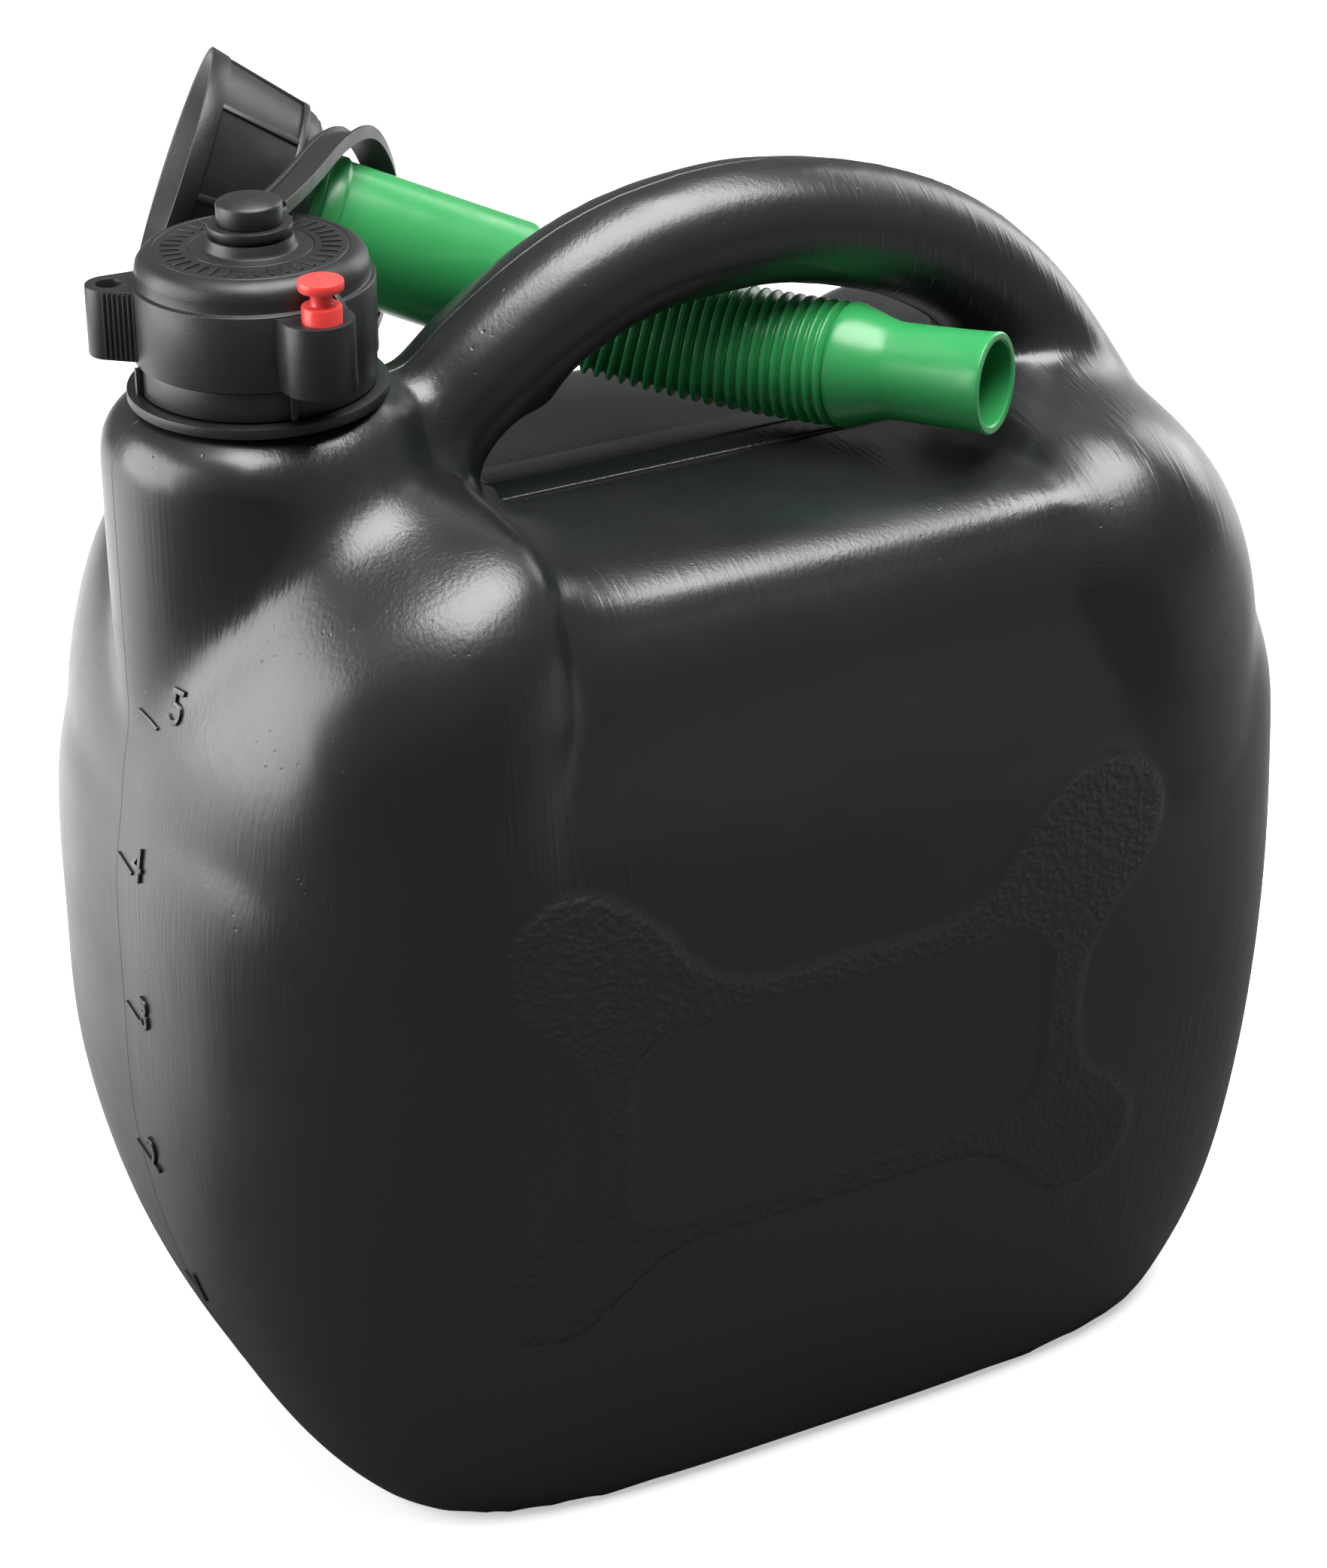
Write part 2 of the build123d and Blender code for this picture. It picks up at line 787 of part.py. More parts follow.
# Ribbed bellows, bent as it lies in the hand gap
rib_pitch = bellows_length / bellows_rib_count
rings = []
for i in range(bellows_rib_count):
    start = spout_straight + i * rib_pitch
    for part, radius in (
        (0, bellows_root_radius),
        (rib_rise_share, bellows_ridge_radius),
        (rib_fall_share, bellows_ridge_radius),
    ):
        rings.append(spout_plane(start + part * rib_pitch) * Circle(radius))
rings.append(spout_plane(spout_straight + bellows_length) * Circle(bellows_root_radius))
bellows_bores = []
for i in range(bellows_rib_count + 1):
    bellows_bores.append(spout_plane(spout_straight + i * rib_pitch) * Circle(bellows_bore))
spout_bellows = loft(rings, ruled=True) - loft(bellows_bores, ruled=True)
export_step(spout_bellows, "parts/spout_bellows.step")

# Nozzle: cone and slightly flared outlet
nozzle_start = spout_straight + bellows_length
nozzle_points = [
    (bellows_root_radius, 0),
    (bellows_ridge_radius, rib_pitch / 2),
    (bellows_ridge_radius - spout_wall / 2, nozzle_cone_length / 3),
    (nozzle_radius, nozzle_cone_length),
    (nozzle_end_radius, nozzle_length),
    (nozzle_radius - spout_wall, nozzle_length),
    (nozzle_radius - spout_wall, nozzle_cone_length),
    (bellows_bore, 0),
]
spout_nozzle = spout_plane(nozzle_start) * revolve(
    Plane.XZ * make_face(Polyline(*nozzle_points, close=True)), Axis.Z
)
export_step(spout_nozzle, "parts/spout_nozzle.step")

# Strap of the tether: a channel that leaves the eyelet, loops round the spout and ends on the ring. Its
# route is given from the neck's axis and the shoulder, as shares of how far the loop reaches.
strap_route_shares = [
    (0.1224, 0.1224, 0.5466),
    (0.2328, 0.2328, 0.5466),
    (0.3621, 0.3793, 0.5483),
    (0.5, 0.5431, 0.5534),
    (0.6293, 0.6724, 0.5466),
    (0.7414, 0.8017, 0.4948),
    (0.8362, 0.9138, 0.3879),
    (0.8966, 0.9741, 0.25),
    (0.8966, 1.0, 0.0948),
    (0.8534, 0.9569, -0.0517),
    (0.7586, 0.8362, -0.1466),
    (0.6379, 0.6897, -0.1724),
    (0.5172, 0.5517, -0.1207),
    (0.4397, 0.469, -0.0259),
    (0.3707, 0.3966, 0.0207),
    (0.3259, 0.3483, 0.0224),
]
strap_route = [
    (neck_x + x * strap_reach, y * strap_reach, shoulder_height + z * strap_reach)
    for x, y, z in strap_route_shares
]


def strap_section(i):
    """The channel section of the strap, square to its route at point i."""
    last = len(strap_route) - 1
    here = Vector(*strap_route[i])
    before = Vector(*strap_route[max(i - 1, 0)])
    after = Vector(*strap_route[min(i + 1, last)])
    tangent = (after - before).normalized()
    side = (strap_side - tangent * strap_side.dot(tangent)).normalized()
    half = strap_width / 2
    rim = half - strap_rim_width
    low = -strap_thickness / 2
    high = strap_thickness / 2
    section = Polyline(
        (-half, low),
        (half, low),
        (half, high + strap_rim_height),
        (rim, high + strap_rim_height),
        (rim, high),
        (-rim, high),
        (-rim, high + strap_rim_height),
        (-half, high + strap_rim_height),
        close=True,
    )
    return Plane(origin=here, x_dir=side, z_dir=tangent) * make_face(section)


strap_side = mouth.x_dir.cross(Vector(0, 0, 1)).reverse()
tether_strap = loft([strap_section(i) for i in range(len(strap_route))], ruled=True)
export_step(tether_strap, "parts/tether_strap.step")
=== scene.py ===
# %% [markdown]
# A five litre fuel can
#
# The object is a black blow-moulded can with a hollow handle, a screw cap with a red locking pin, and a
# green filling spout that is stored through the hand gap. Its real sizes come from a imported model, which
# is loaded first and stays where it is. Each cell below then dresses one piece or makes one finish.

# %% Load the frame
import json
import math

import bmesh
import bpy
import numpy as np
from mathutils import Matrix, Vector
from mathutils.bvhtree import BVHTree


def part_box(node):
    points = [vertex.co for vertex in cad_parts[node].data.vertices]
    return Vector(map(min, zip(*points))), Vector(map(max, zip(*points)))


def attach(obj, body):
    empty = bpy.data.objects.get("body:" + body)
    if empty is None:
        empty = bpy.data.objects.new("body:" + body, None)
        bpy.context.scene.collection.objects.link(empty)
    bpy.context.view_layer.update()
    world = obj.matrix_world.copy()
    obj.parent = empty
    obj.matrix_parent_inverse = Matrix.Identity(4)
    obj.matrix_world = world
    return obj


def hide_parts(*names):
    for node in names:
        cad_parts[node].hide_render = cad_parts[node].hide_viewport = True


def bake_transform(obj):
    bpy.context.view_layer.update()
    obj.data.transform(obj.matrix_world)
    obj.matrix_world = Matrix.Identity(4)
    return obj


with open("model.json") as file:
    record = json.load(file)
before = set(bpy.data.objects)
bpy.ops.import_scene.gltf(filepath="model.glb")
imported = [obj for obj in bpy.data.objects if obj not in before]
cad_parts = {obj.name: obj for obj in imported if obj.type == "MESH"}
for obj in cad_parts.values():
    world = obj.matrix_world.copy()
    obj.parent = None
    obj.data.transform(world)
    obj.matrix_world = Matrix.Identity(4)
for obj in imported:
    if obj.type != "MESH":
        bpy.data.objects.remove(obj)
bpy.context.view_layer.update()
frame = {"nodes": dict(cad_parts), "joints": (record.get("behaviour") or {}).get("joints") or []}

MM = 0.001
joints = {joint["name"]: joint for joint in frame["joints"]}
print("nodes:", sorted(frame["nodes"]))

# %% [markdown]
# Where things are
#
# Every place below is read from the frame, so nothing is typed twice. The cap turns about an upright
# axis, and the spout's straight run lies on the collar's axis, so two joints give both lines.

# %% Places read from the frame
neck_x = joints["cap_turn"]["pos_m"][0]
shoulder_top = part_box("tether_ring")[0][2] - 0.3 * MM
neck_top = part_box("cap_gasket")[0][2] - 0.1 * MM
spout_run = Vector(joints["collar_spin"]["axis"])
spout_mark = Vector(joints["collar_spin"]["pos_m"])
MOUTH_TO_MARK = 12 * MM
spout_mouth = spout_mark - spout_run * MOUTH_TO_MARK
bend_axis = Vector(joints["nozzle_bend"]["axis"])
print("neck at x", round(neck_x, 4), "shoulder", round(shoulder_top, 4), "neck top", round(neck_top, 4))

# %% [markdown]
# The camera
#
# A product photograph is taken from some way off with a long lens, which keeps the can's sides nearly
# parallel. The camera is placed by angles round the can and a distance, as a photographer would set a
# tripod. The last small roll is the tripod's own tilt.

# %% Camera
CAMERA_AZIMUTH = 28.28
CAMERA_ELEVATION = 27.24
CAMERA_ROLL = -0.43
CAMERA_DISTANCE = 0.839
CAMERA_AIM = Vector((-0.00603, 0, 0.12978))
LENS_MM = 94.96
SENSOR_MM = 36


def place_camera():
    """Makes the camera look along the given angles at its aim."""
    azimuth = math.radians(CAMERA_AZIMUTH)
    elevation = math.radians(CAMERA_ELEVATION)
    roll = math.radians(CAMERA_ROLL)
    forward = Vector(
        (
            math.sin(azimuth) * math.cos(elevation),
            math.cos(azimuth) * math.cos(elevation),
            -math.sin(elevation),
        )
    )
    level = Vector((math.cos(azimuth), -math.sin(azimuth), 0))
    upward = level.cross(forward)
    right = level * math.cos(roll) + upward * math.sin(roll)
    top = upward * math.cos(roll) - level * math.sin(roll)
    data = bpy.data.cameras.new("camera")
    data.lens = LENS_MM
    data.sensor_width = SENSOR_MM
    data.clip_start = 0.02
    camera = bpy.data.objects.new("camera", data)
    bpy.context.scene.collection.objects.link(camera)
    turn = Matrix((right, top, -forward)).transposed().to_4x4()
    camera.matrix_world = Matrix.Translation(CAMERA_AIM - forward * CAMERA_DISTANCE) @ turn
    bpy.context.scene.camera = camera
    return camera


camera = place_camera()
print("camera at", [round(v, 3) for v in camera.location])

# %% [markdown]
# Helpers for materials
#
# A finish is one Principled shader with a few bumps on it. Each bump is a pattern read from the piece's
# own coordinates, so it stays on the surface when the view changes. Numbers that are the same all over
# the piece go on the shader itself.

# %% Helpers for materials
COLOURS = {
    "can_black": (0.0075, 0.008, 0.0085, 1),
    "cap_black": (0.009, 0.0095, 0.01, 1),
    "spout_green": (0.026, 0.26, 0.072, 1),
    "pin_red": (0.72, 0.05, 0.045, 1),
    "seal_black": (0.02, 0.02, 0.02, 1),
}


def new_finish(name, colour, roughness):
    """A material with one Principled shader, and the coordinates that its patterns read."""
    finish = bpy.data.materials.new(name)
    finish.use_nodes = True
    tree = finish.node_tree
    shader = tree.nodes["Principled BSDF"]
    shader.inputs["Base Color"].default_value = colour
    shader.inputs["Roughness"].default_value = roughness
    place = tree.nodes.new("ShaderNodeTexCoord")
    return finish, tree, shader, place


def stretched(tree, place, scale, turn=(0, 0, 0)):
    """Object coordinates stretched along the axes, for lines and drawn marks."""
    mapping = tree.nodes.new("ShaderNodeMapping")
    mapping.inputs["Scale"].default_value = scale
    mapping.inputs["Rotation"].default_value = [math.radians(a) for a in turn]
    tree.links.new(place.outputs["Object"], mapping.inputs["Vector"])
    return mapping.outputs["Vector"]


def noise(tree, vector, scale, detail=2, roughness=0.5):
    """A noise pattern; its Fac runs from 0 to 1 about the middle."""
    pattern = tree.nodes.new("ShaderNodeTexNoise")
    pattern.inputs["Scale"].default_value = scale
    pattern.inputs["Detail"].default_value = detail
    pattern.inputs["Roughness"].default_value = roughness
    tree.links.new(vector, pattern.inputs["Vector"])
    return pattern.outputs["Fac"]


def remap(tree, value, low, high, to_low=0.0, to_high=1.0):
    """Stretches a pattern between two levels and clips it there."""
    ramp = tree.nodes.new("ShaderNodeMapRange")
    ramp.inputs["From Min"].default_value = low
    ramp.inputs["From Max"].default_value = high
    ramp.inputs["To Min"].default_value = to_low
    ramp.inputs["To Max"].default_value = to_high
    tree.links.new(value, ramp.inputs["Value"])
    return ramp.outputs["Result"]


def combine(tree, operation, first, second):
    """One sum or product of two patterns, or of a pattern and a number."""
    sum_node = tree.nodes.new("ShaderNodeMath")
    sum_node.operation = operation
    for socket, value in zip(sum_node.inputs, (first, second)):
        if isinstance(value, (int, float)):
            socket.default_value = value
        else:
            tree.links.new(value, socket)
    return sum_node.outputs["Value"]


def bump(tree, height, depth, below=None):
    """A bump of that depth in metres, laid over the one below it."""
    layer = tree.nodes.new("ShaderNodeBump")
    layer.inputs["Distance"].default_value = depth
    tree.links.new(height, layer.inputs["Height"])
    if below is not None:
        tree.links.new(below, layer.inputs["Normal"])
    return layer.outputs["Normal"]


# %% [markdown]
# The can's own plastic
#
# Blow-moulded polyethylene is squeezed out of a ring-shaped die as a soft tube, so it carries fine drawn
# lines from the die, a slight waviness where it cooled against the mould, and small pits from trapped
# air. On top of that the mould's side panel has a coarse leather grain. The lines are a noise stretched a
# long way along the can's height; the grain is switched on by an attribute that the mesh carries.

# %% Finish of the can
WAVE_DEPTH = 0.0005
DIE_LINE_DEPTH = 0.00007
SCORE_DEPTH = 0.00006
PIT_DEPTH = 0.00006
GRAIN_DEPTH = 0.00036


def can_finish():
    """Semi-gloss black with die lines, pits, faint scuffs, and grain where the attribute says so."""
    finish, tree, shader, place = new_finish("can_plastic", COLOURS["can_black"], 0.3)
    shader.inputs["Specular IOR Level"].default_value = 0.7
    at = place.outputs["Object"]
    wave = bump(tree, noise(tree, at, 26, 1), WAVE_DEPTH)
    patches = remap(tree, noise(tree, at, 18, 2), 0.44, 0.58)
    upright = noise(tree, stretched(tree, place, (1100, 1100, 6)), 1.0, 2, 0.6)
    drawn = combine(tree, "MULTIPLY", upright, patches)
    lines = bump(tree, drawn, DIE_LINE_DEPTH, wave)
    slanted_at = stretched(tree, place, (800, 90, 16), (0, 12, 0))
    slanted = remap(tree, noise(tree, slanted_at, 1.0, 2, 0.5), 0.5, 0.7)
    slanted_patches = remap(tree, noise(tree, at, 11, 1), 0.5, 0.6)
    scored = combine(tree, "MULTIPLY", slanted, slanted_patches)
    scores = bump(tree, scored, SCORE_DEPTH, lines)
    cells = tree.nodes.new("ShaderNodeTexVoronoi")
    cells.inputs["Scale"].default_value = 330
    tree.links.new(at, cells.inputs["Vector"])
    spots = remap(tree, cells.outputs["Distance"], 0.04, 0.14)
    rare = remap(tree, noise(tree, at, 55, 1), 0.55, 0.62)
    no_pit = combine(tree, "MAXIMUM", spots, combine(tree, "SUBTRACT", 1.0, rare))
    pits = bump(tree, no_pit, PIT_DEPTH, scores)
    grain_mask = tree.nodes.new("ShaderNodeAttribute")
    grain_mask.attribute_name = "grain"
    leather = tree.nodes.new("ShaderNodeTexVoronoi")
    leather.inputs["Scale"].default_value = 620
    tree.links.new(at, leather.inputs["Vector"])
    rough = combine(tree, "ADD", leather.outputs["Distance"], noise(tree, at, 900, 2))
    grain = combine(tree, "MULTIPLY", rough, grain_mask.outputs["Fac"])
    grained = bump(tree, grain, GRAIN_DEPTH, pits)
    tree.links.new(grained, shader.inputs["Normal"])
    gloss = remap(tree, noise(tree, at, 40, 4, 0.6), 0.3, 0.7, 0.27, 0.36)
    duller = combine(tree, "MULTIPLY", grain_mask.outputs["Fac"], 0.12)
    tree.links.new(combine(tree, "ADD", gloss, duller), shader.inputs["Roughness"])
    return finish


can_plastic = can_finish()
print("made", can_plastic.name)

# %% [markdown]
# The small mouldings
#
# The cap, the tether and the collar are injection-moulded. Their steel moulds are eroded by sparks, which
# leaves a fine even grain and a satin look, with a little more gloss where fingers rub. The spout is
# smooth and a bit milky, so some light goes into it. The pin is the same kind of plastic in red.

# %% Finishes of the small mouldings


def moulded_finish(name, colour, roughness, grain_scale, grain_depth, milkiness=0.0):
    """Satin or glossy moulded plastic with a fine grain and slight variation in its gloss."""
    finish, tree, shader, place = new_finish(name, colour, roughness)
    at = place.outputs["Object"]
    waves = bump(tree, noise(tree, at, 90, 1), 0.00012)
    fine = bump(tree, noise(tree, at, grain_scale, 3, 0.6), grain_depth, waves)
    tree.links.new(fine, shader.inputs["Normal"])
    gloss = remap(tree, noise(tree, at, 120, 4, 0.65), 0.3, 0.7, roughness - 0.05, roughness + 0.07)
    tree.links.new(gloss, shader.inputs["Roughness"])
    shader.inputs["Subsurface Weight"].default_value = milkiness
    shader.inputs["Subsurface Radius"].default_value = (0.004, 0.004, 0.003)
    shader.inputs["Subsurface Scale"].default_value = 0.4
    return finish


FINISHES = {
    "black_polyethylene": can_plastic,
    "black_cap_plastic": moulded_finish("cap_plastic", COLOURS["cap_black"], 0.4, 2600, 0.00003),
    "green_polyethylene": moulded_finish("spout_plastic", COLOURS["spout_green"], 0.3, 700, 0.00001, 0.25),
    "red_plastic": moulded_finish("pin_plastic", COLOURS["pin_red"], 0.32, 900, 0.00001, 0.3),
    "seal_rubber": moulded_finish("seal_rubber", COLOURS["seal_black"], 0.7, 1500, 0.00002),
}
print("finishes:", sorted(FINISHES))

# %% [markdown]
# Helpers for shapes
#
# Most small pieces are turned: a profile is drawn as a few points and spun about an axis. Real mouldings
# have no knife edges, so each sharp edge then gets a small bevel. A finished piece gets its finish and the
# body that it moves with, and the nodes of the imported model that it stands for are hidden.

# %% Helpers for shapes
FULL_TURN = 2 * math.pi


def turned(profile, steps=96, closed=True):
    """A bmesh spun about Z from (radius, height) points given in millimetres."""
    shape = bmesh.new()
    points = [shape.verts.new((radius * MM, 0, height * MM)) for radius, height in profile]
    pairs = list(zip(points, points[1:]))
    if closed:
        pairs.append((points[-1], points[0]))
    rim = [shape.edges.new(pair) for pair in pairs]
    bmesh.ops.spin(
        shape, geom=points + rim, cent=(0, 0, 0), axis=(0, 0, 1), angle=FULL_TURN, steps=steps,
        use_merge=True, use_duplicate=False,
    )
    bmesh.ops.remove_doubles(shape, verts=shape.verts, dist=0.002 * MM)
    bmesh.ops.recalc_face_normals(shape, faces=shape.faces)
    return shape


def soften(shape, width_mm, angle=28, segments=2):
    """Bevels every edge that is sharper than the angle."""
    sharp = [
        edge for edge in shape.edges
        if len(edge.link_faces) == 2 and edge.calc_face_angle(0) > math.radians(angle)
    ]
    bmesh.ops.bevel(
        shape, geom=sharp, offset=width_mm * MM, offset_type="OFFSET", segments=segments,
        affect="EDGES", profile=0.5, material=-1, clamp_overlap=True,
    )
    return shape


def shift(shape, x=0.0, z=0.0):
    """Moves a shape along x and z, in millimetres."""
    bmesh.ops.translate(shape, vec=(x * MM, 0, z * MM), verts=shape.verts)
    return shape


def thicken(sheet, height_mm):
    """Gives a flat sheet a height along z."""
    grown = bmesh.ops.extrude_face_region(sheet, geom=sheet.faces[:])
    top = [v for v in grown["geom"] if isinstance(v, bmesh.types.BMVert)]
    bmesh.ops.translate(sheet, vec=(0, 0, height_mm * MM), verts=top)


def spoke(angle, reach, height=0.0):
    """A place at an angle in degrees round the upright axis, and at a reach and a height in millimetres."""
    return Matrix.Rotation(math.radians(angle), 4, "Z") @ Matrix.Translation((reach * MM, 0, height * MM))


def block(width, depth, height, corner_mm=0):
    """A box that stands on z = 0, centred in x and y, in millimetres, with softened edges."""
    shape = bmesh.new()
    bmesh.ops.create_cube(shape, size=1)
    bmesh.ops.scale(shape, vec=(width * MM, depth * MM, height * MM), verts=shape.verts)
    shift(shape, z=height / 2)
    if corner_mm:
        soften(shape, corner_mm)
    return shape


def add_to(shape, part, place=Matrix.Identity(4)):
    """Adds a part, moved by the given matrix, to a shape."""
    part.transform(place)
    mesh = bpy.data.meshes.new("part")
    part.to_mesh(mesh)
    part.free()
    shape.from_mesh(mesh)
    bpy.data.meshes.remove(mesh)
    return shape


def loose_object(name, shape):
    """A plain object with the shape's mesh. The shape is freed."""
    mesh = bpy.data.meshes.new(name)
    shape.to_mesh(mesh)
    shape.free()
    piece = bpy.data.objects.new(name, mesh)
    bpy.context.scene.collection.objects.link(piece)
    return piece


def curve_mesh(curve):
    """The mesh that a curve or a text gives."""
    holder = bpy.data.objects.new("holder", curve)
    bpy.context.scene.collection.objects.link(holder)
    bpy.context.view_layer.update()
    mesh = bpy.data.meshes.new_from_object(holder.evaluated_get(bpy.context.evaluated_depsgraph_get()))
    bpy.data.objects.remove(holder)
    return mesh


def finish_piece(name, shape, slot, body=None, stands_for=(), place=None, sharp=32, fix_normals=False):
    """Turns a bmesh into an object with its finish and its body, and hides the nodes that it stands for."""
    if place is not None:
        shape.transform(place)
    if fix_normals:
        bmesh.ops.recalc_face_normals(shape, faces=shape.faces)
    piece = loose_object(name, shape)
    mesh = piece.data
    mesh.materials.append(FINISHES[slot])
    for face in mesh.polygons:
        face.use_smooth = True
    mesh.set_sharp_from_angle(angle=math.radians(sharp))
    if body:
        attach(piece, body)
    if stands_for:
        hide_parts(*stands_for)
    print(name, "has", len(mesh.polygons), "faces")
    return piece


def apply_modifiers(piece):
    """Makes the piece's modifiers final."""
    bpy.context.view_layer.update()
    baked = bpy.data.meshes.new_from_object(piece.evaluated_get(bpy.context.evaluated_depsgraph_get()))
    piece.modifiers.clear()
    piece.data = baked
    return piece


on_neck = Matrix.Translation((neck_x, 0, 0))
print("pieces on the neck are moved by", round(neck_x / MM, 2), "mm")

# %% [markdown]
# The can's body
#
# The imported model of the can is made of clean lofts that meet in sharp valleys. On the real can the
# plastic is blown against the mould and can't follow a sharp valley, so it flows across it in a soft
# curve. Modelling those blends by hand would be slow. Instead a copy of the model is remeshed on a fine
# even grid, which welds the lofts into one skin, and then only the valleys are smoothed, so the domes and
# the handle keep their size.

# %% Remesh the can into one skin
SKIN_CELL = 2.1 * MM
NECK_PLUG_RADIUS = 19 * MM
NECK_PLUG_DEPTH = 14 * MM


def near_neck(point):
    """Whether a point is nearer to the neck's axis than the plug's radius."""
    return math.hypot(point.x - neck_x, point.y) < NECK_PLUG_RADIUS


def welded_skin():
    """The outside of the can as one even mesh, with the neck left off."""
    skin = bmesh.new()
    skin.from_mesh(frame["nodes"]["tank"].data)
    bmesh.ops.remove_doubles(skin, verts=skin.verts, dist=0.001 * MM)
    neck = [v for v in skin.verts if v.co.z > shoulder_top + 0.1 * MM and near_neck(v.co)]
    bmesh.ops.delete(skin, geom=neck, context="VERTS")
    plug = bmesh.new()
    bmesh.ops.create_cone(
        plug, cap_ends=True, segments=64, radius1=NECK_PLUG_RADIUS, radius2=NECK_PLUG_RADIUS,
        depth=NECK_PLUG_DEPTH,
    )
    add_to(skin, plug, Matrix.Translation((neck_x, 0, shoulder_top - NECK_PLUG_DEPTH / 2)))
    piece = loose_object("can_body", skin)
    remesh = piece.modifiers.new("weld", "REMESH")
    remesh.mode = "VOXEL"
    remesh.voxel_size = SKIN_CELL
    return apply_modifiers(piece)


def keep_outer_skin(piece):
    """Deletes every loose shell but the widest one."""
    shape = bmesh.new()
    shape.from_mesh(piece.data)
    left = set(shape.verts)
    shells = []
    while left:
        front = [left.pop()]
        shell = list(front)
        while front:
            vertex = front.pop()
            for edge in vertex.link_edges:
                other = edge.other_vert(vertex)
                if other in left:
                    left.remove(other)
                    front.append(other)
                    shell.append(other)
        shells.append(shell)
    shells.sort(key=lambda shell: max(v.co.x for v in shell) - min(v.co.x for v in shell))
    for shell in shells[:-1]:
        bmesh.ops.delete(shape, geom=shell, context="VERTS")
    print("shells found:", len(shells), "kept", len(shells[-1]), "vertices")
    shape.to_mesh(piece.data)
    shape.free()
    return piece


can_body = keep_outer_skin(welded_skin())

# %% [markdown]
# Soft valleys and shoulders
#
# A valley is where the neighbours of a vertex stand above its own surface. Each vertex gets a weight from
# how deep its valley is, the weight is spread a little way out, and a Smooth modifier uses it as a vertex
# group. Two more groups are given by their place: the broad shoulders beside the hand gap, and the lump
# under the handle's front that stops the fingers. Below the hand gap the mould's flank is set back, so it
# is carved by moving the vertices inwards by a depth that depends on their place. A few rounds over the
# whole skin then take out the grid's own steps.

# %% Smooth the valleys and shoulders
VALLEY_START = 0.02
VALLEY_FULL = 0.1
VALLEY_REACH = 6
VALLEY_ROUNDS = 30
SHOULDER_ROUNDS = 200
FINGER_STOP_ROUNDS = 12
SKIN_ROUNDS = 4
FLANK_DEPTH = 6.5
FLANK_SLOPE_LENGTH = 20
FRONT_CREASE_X = -57
REAR_CREASE_X = 52
CREASE_DRIFT = 6
CREASE_WIDTH = (2, 10)


def neighbour_mean(values, edges):
    """The mean of each vertex's neighbours."""
    total = np.zeros_like(values)
    degree = np.zeros(len(values))
    np.add.at(total, edges[:, 0], values[edges[:, 1]])
    np.add.at(total, edges[:, 1], values[edges[:, 0]])
    np.add.at(degree, edges.ravel(), 1)
    return total / np.maximum(degree, 1).reshape((-1,) + (1,) * (values.ndim - 1))


def mesh_arrays(mesh):
    """The places, normals and edges of a mesh as arrays."""
    count = len(mesh.vertices)
    places = np.empty(count * 3)
    mesh.vertices.foreach_get("co", places)
    normals = np.empty(count * 3)
    mesh.vertices.foreach_get("normal", normals)
    edges = np.empty(len(mesh.edges) * 2, int)
    mesh.edges.foreach_get("vertices", edges)
    return places.reshape(-1, 3), normals.reshape(-1, 3), edges.reshape(-1, 2)


def ramp(values_mm, low, high):
    """0 at the low value, 1 at the high one, and even between them."""
    return np.clip((values_mm - low) / (high - low), 0, 1)


def valley_weight(places, normals, edges):
    """How deep in a valley each vertex lies, spread a little way out."""
    rise = ((neighbour_mean(places, edges) - places) * normals).sum(axis=1) / SKIN_CELL
    weight = ramp(rise, VALLEY_START, VALLEY_FULL)
    for _ in range(VALLEY_REACH):
        spread = weight.copy()
        np.maximum.at(spread, edges[:, 0], weight[edges[:, 1]] * 0.9)
        np.maximum.at(spread, edges[:, 1], weight[edges[:, 0]] * 0.9)
        weight = spread
    for _ in range(4):
        weight = neighbour_mean(weight, edges)
    return weight


def smooth_zone(piece, name, weight, rounds):
    """Smooths the piece where the weight says so."""
    group = piece.vertex_groups.new(name=name)
    for index in np.flatnonzero(weight > 0.01):
        group.add([int(index)], float(weight[index]), "REPLACE")
    zone = piece.modifiers.new(name, "SMOOTH")
    zone.iterations = rounds
    zone.factor = 0.5
    zone.vertex_group = name
    print(name, "vertices:", int((weight > 0.1).sum()), "of", len(weight))


def smooth_skin(piece):
    """Smooths the valleys, the shoulders and the finger stop."""
    places, normals, edges = mesh_arrays(piece.data)
    x, y, z = places.T / MM
    off_crease = ramp(abs(x - FRONT_CREASE_X), *CREASE_WIDTH) * ramp(abs(x - REAR_CREASE_X), *CREASE_WIDTH)
    shoulders = ramp(x, -104, -90) * ramp(-x, -100, -88) * ramp(abs(y), 16, 34) * ramp(z, 164, 180)
    shoulders *= off_crease
    finger_stop = ramp(x, -49, -45) * ramp(-x, 25, 29) * ramp(-abs(y), -11, -8) * ramp(-z, -226, -221)
    finger_stop *= ramp(z, 213, 215)
    valleys = valley_weight(places, normals, edges)
    valleys *= 1 - 0.85 * (1 - off_crease) * ramp(abs(y), 14, 24)
    smooth_zone(piece, "valleys", valleys, VALLEY_ROUNDS)
    smooth_zone(piece, "shoulders", shoulders, SHOULDER_ROUNDS)
    smooth_zone(piece, "finger_stop", finger_stop, FINGER_STOP_ROUNDS)
    return apply_modifiers(piece)


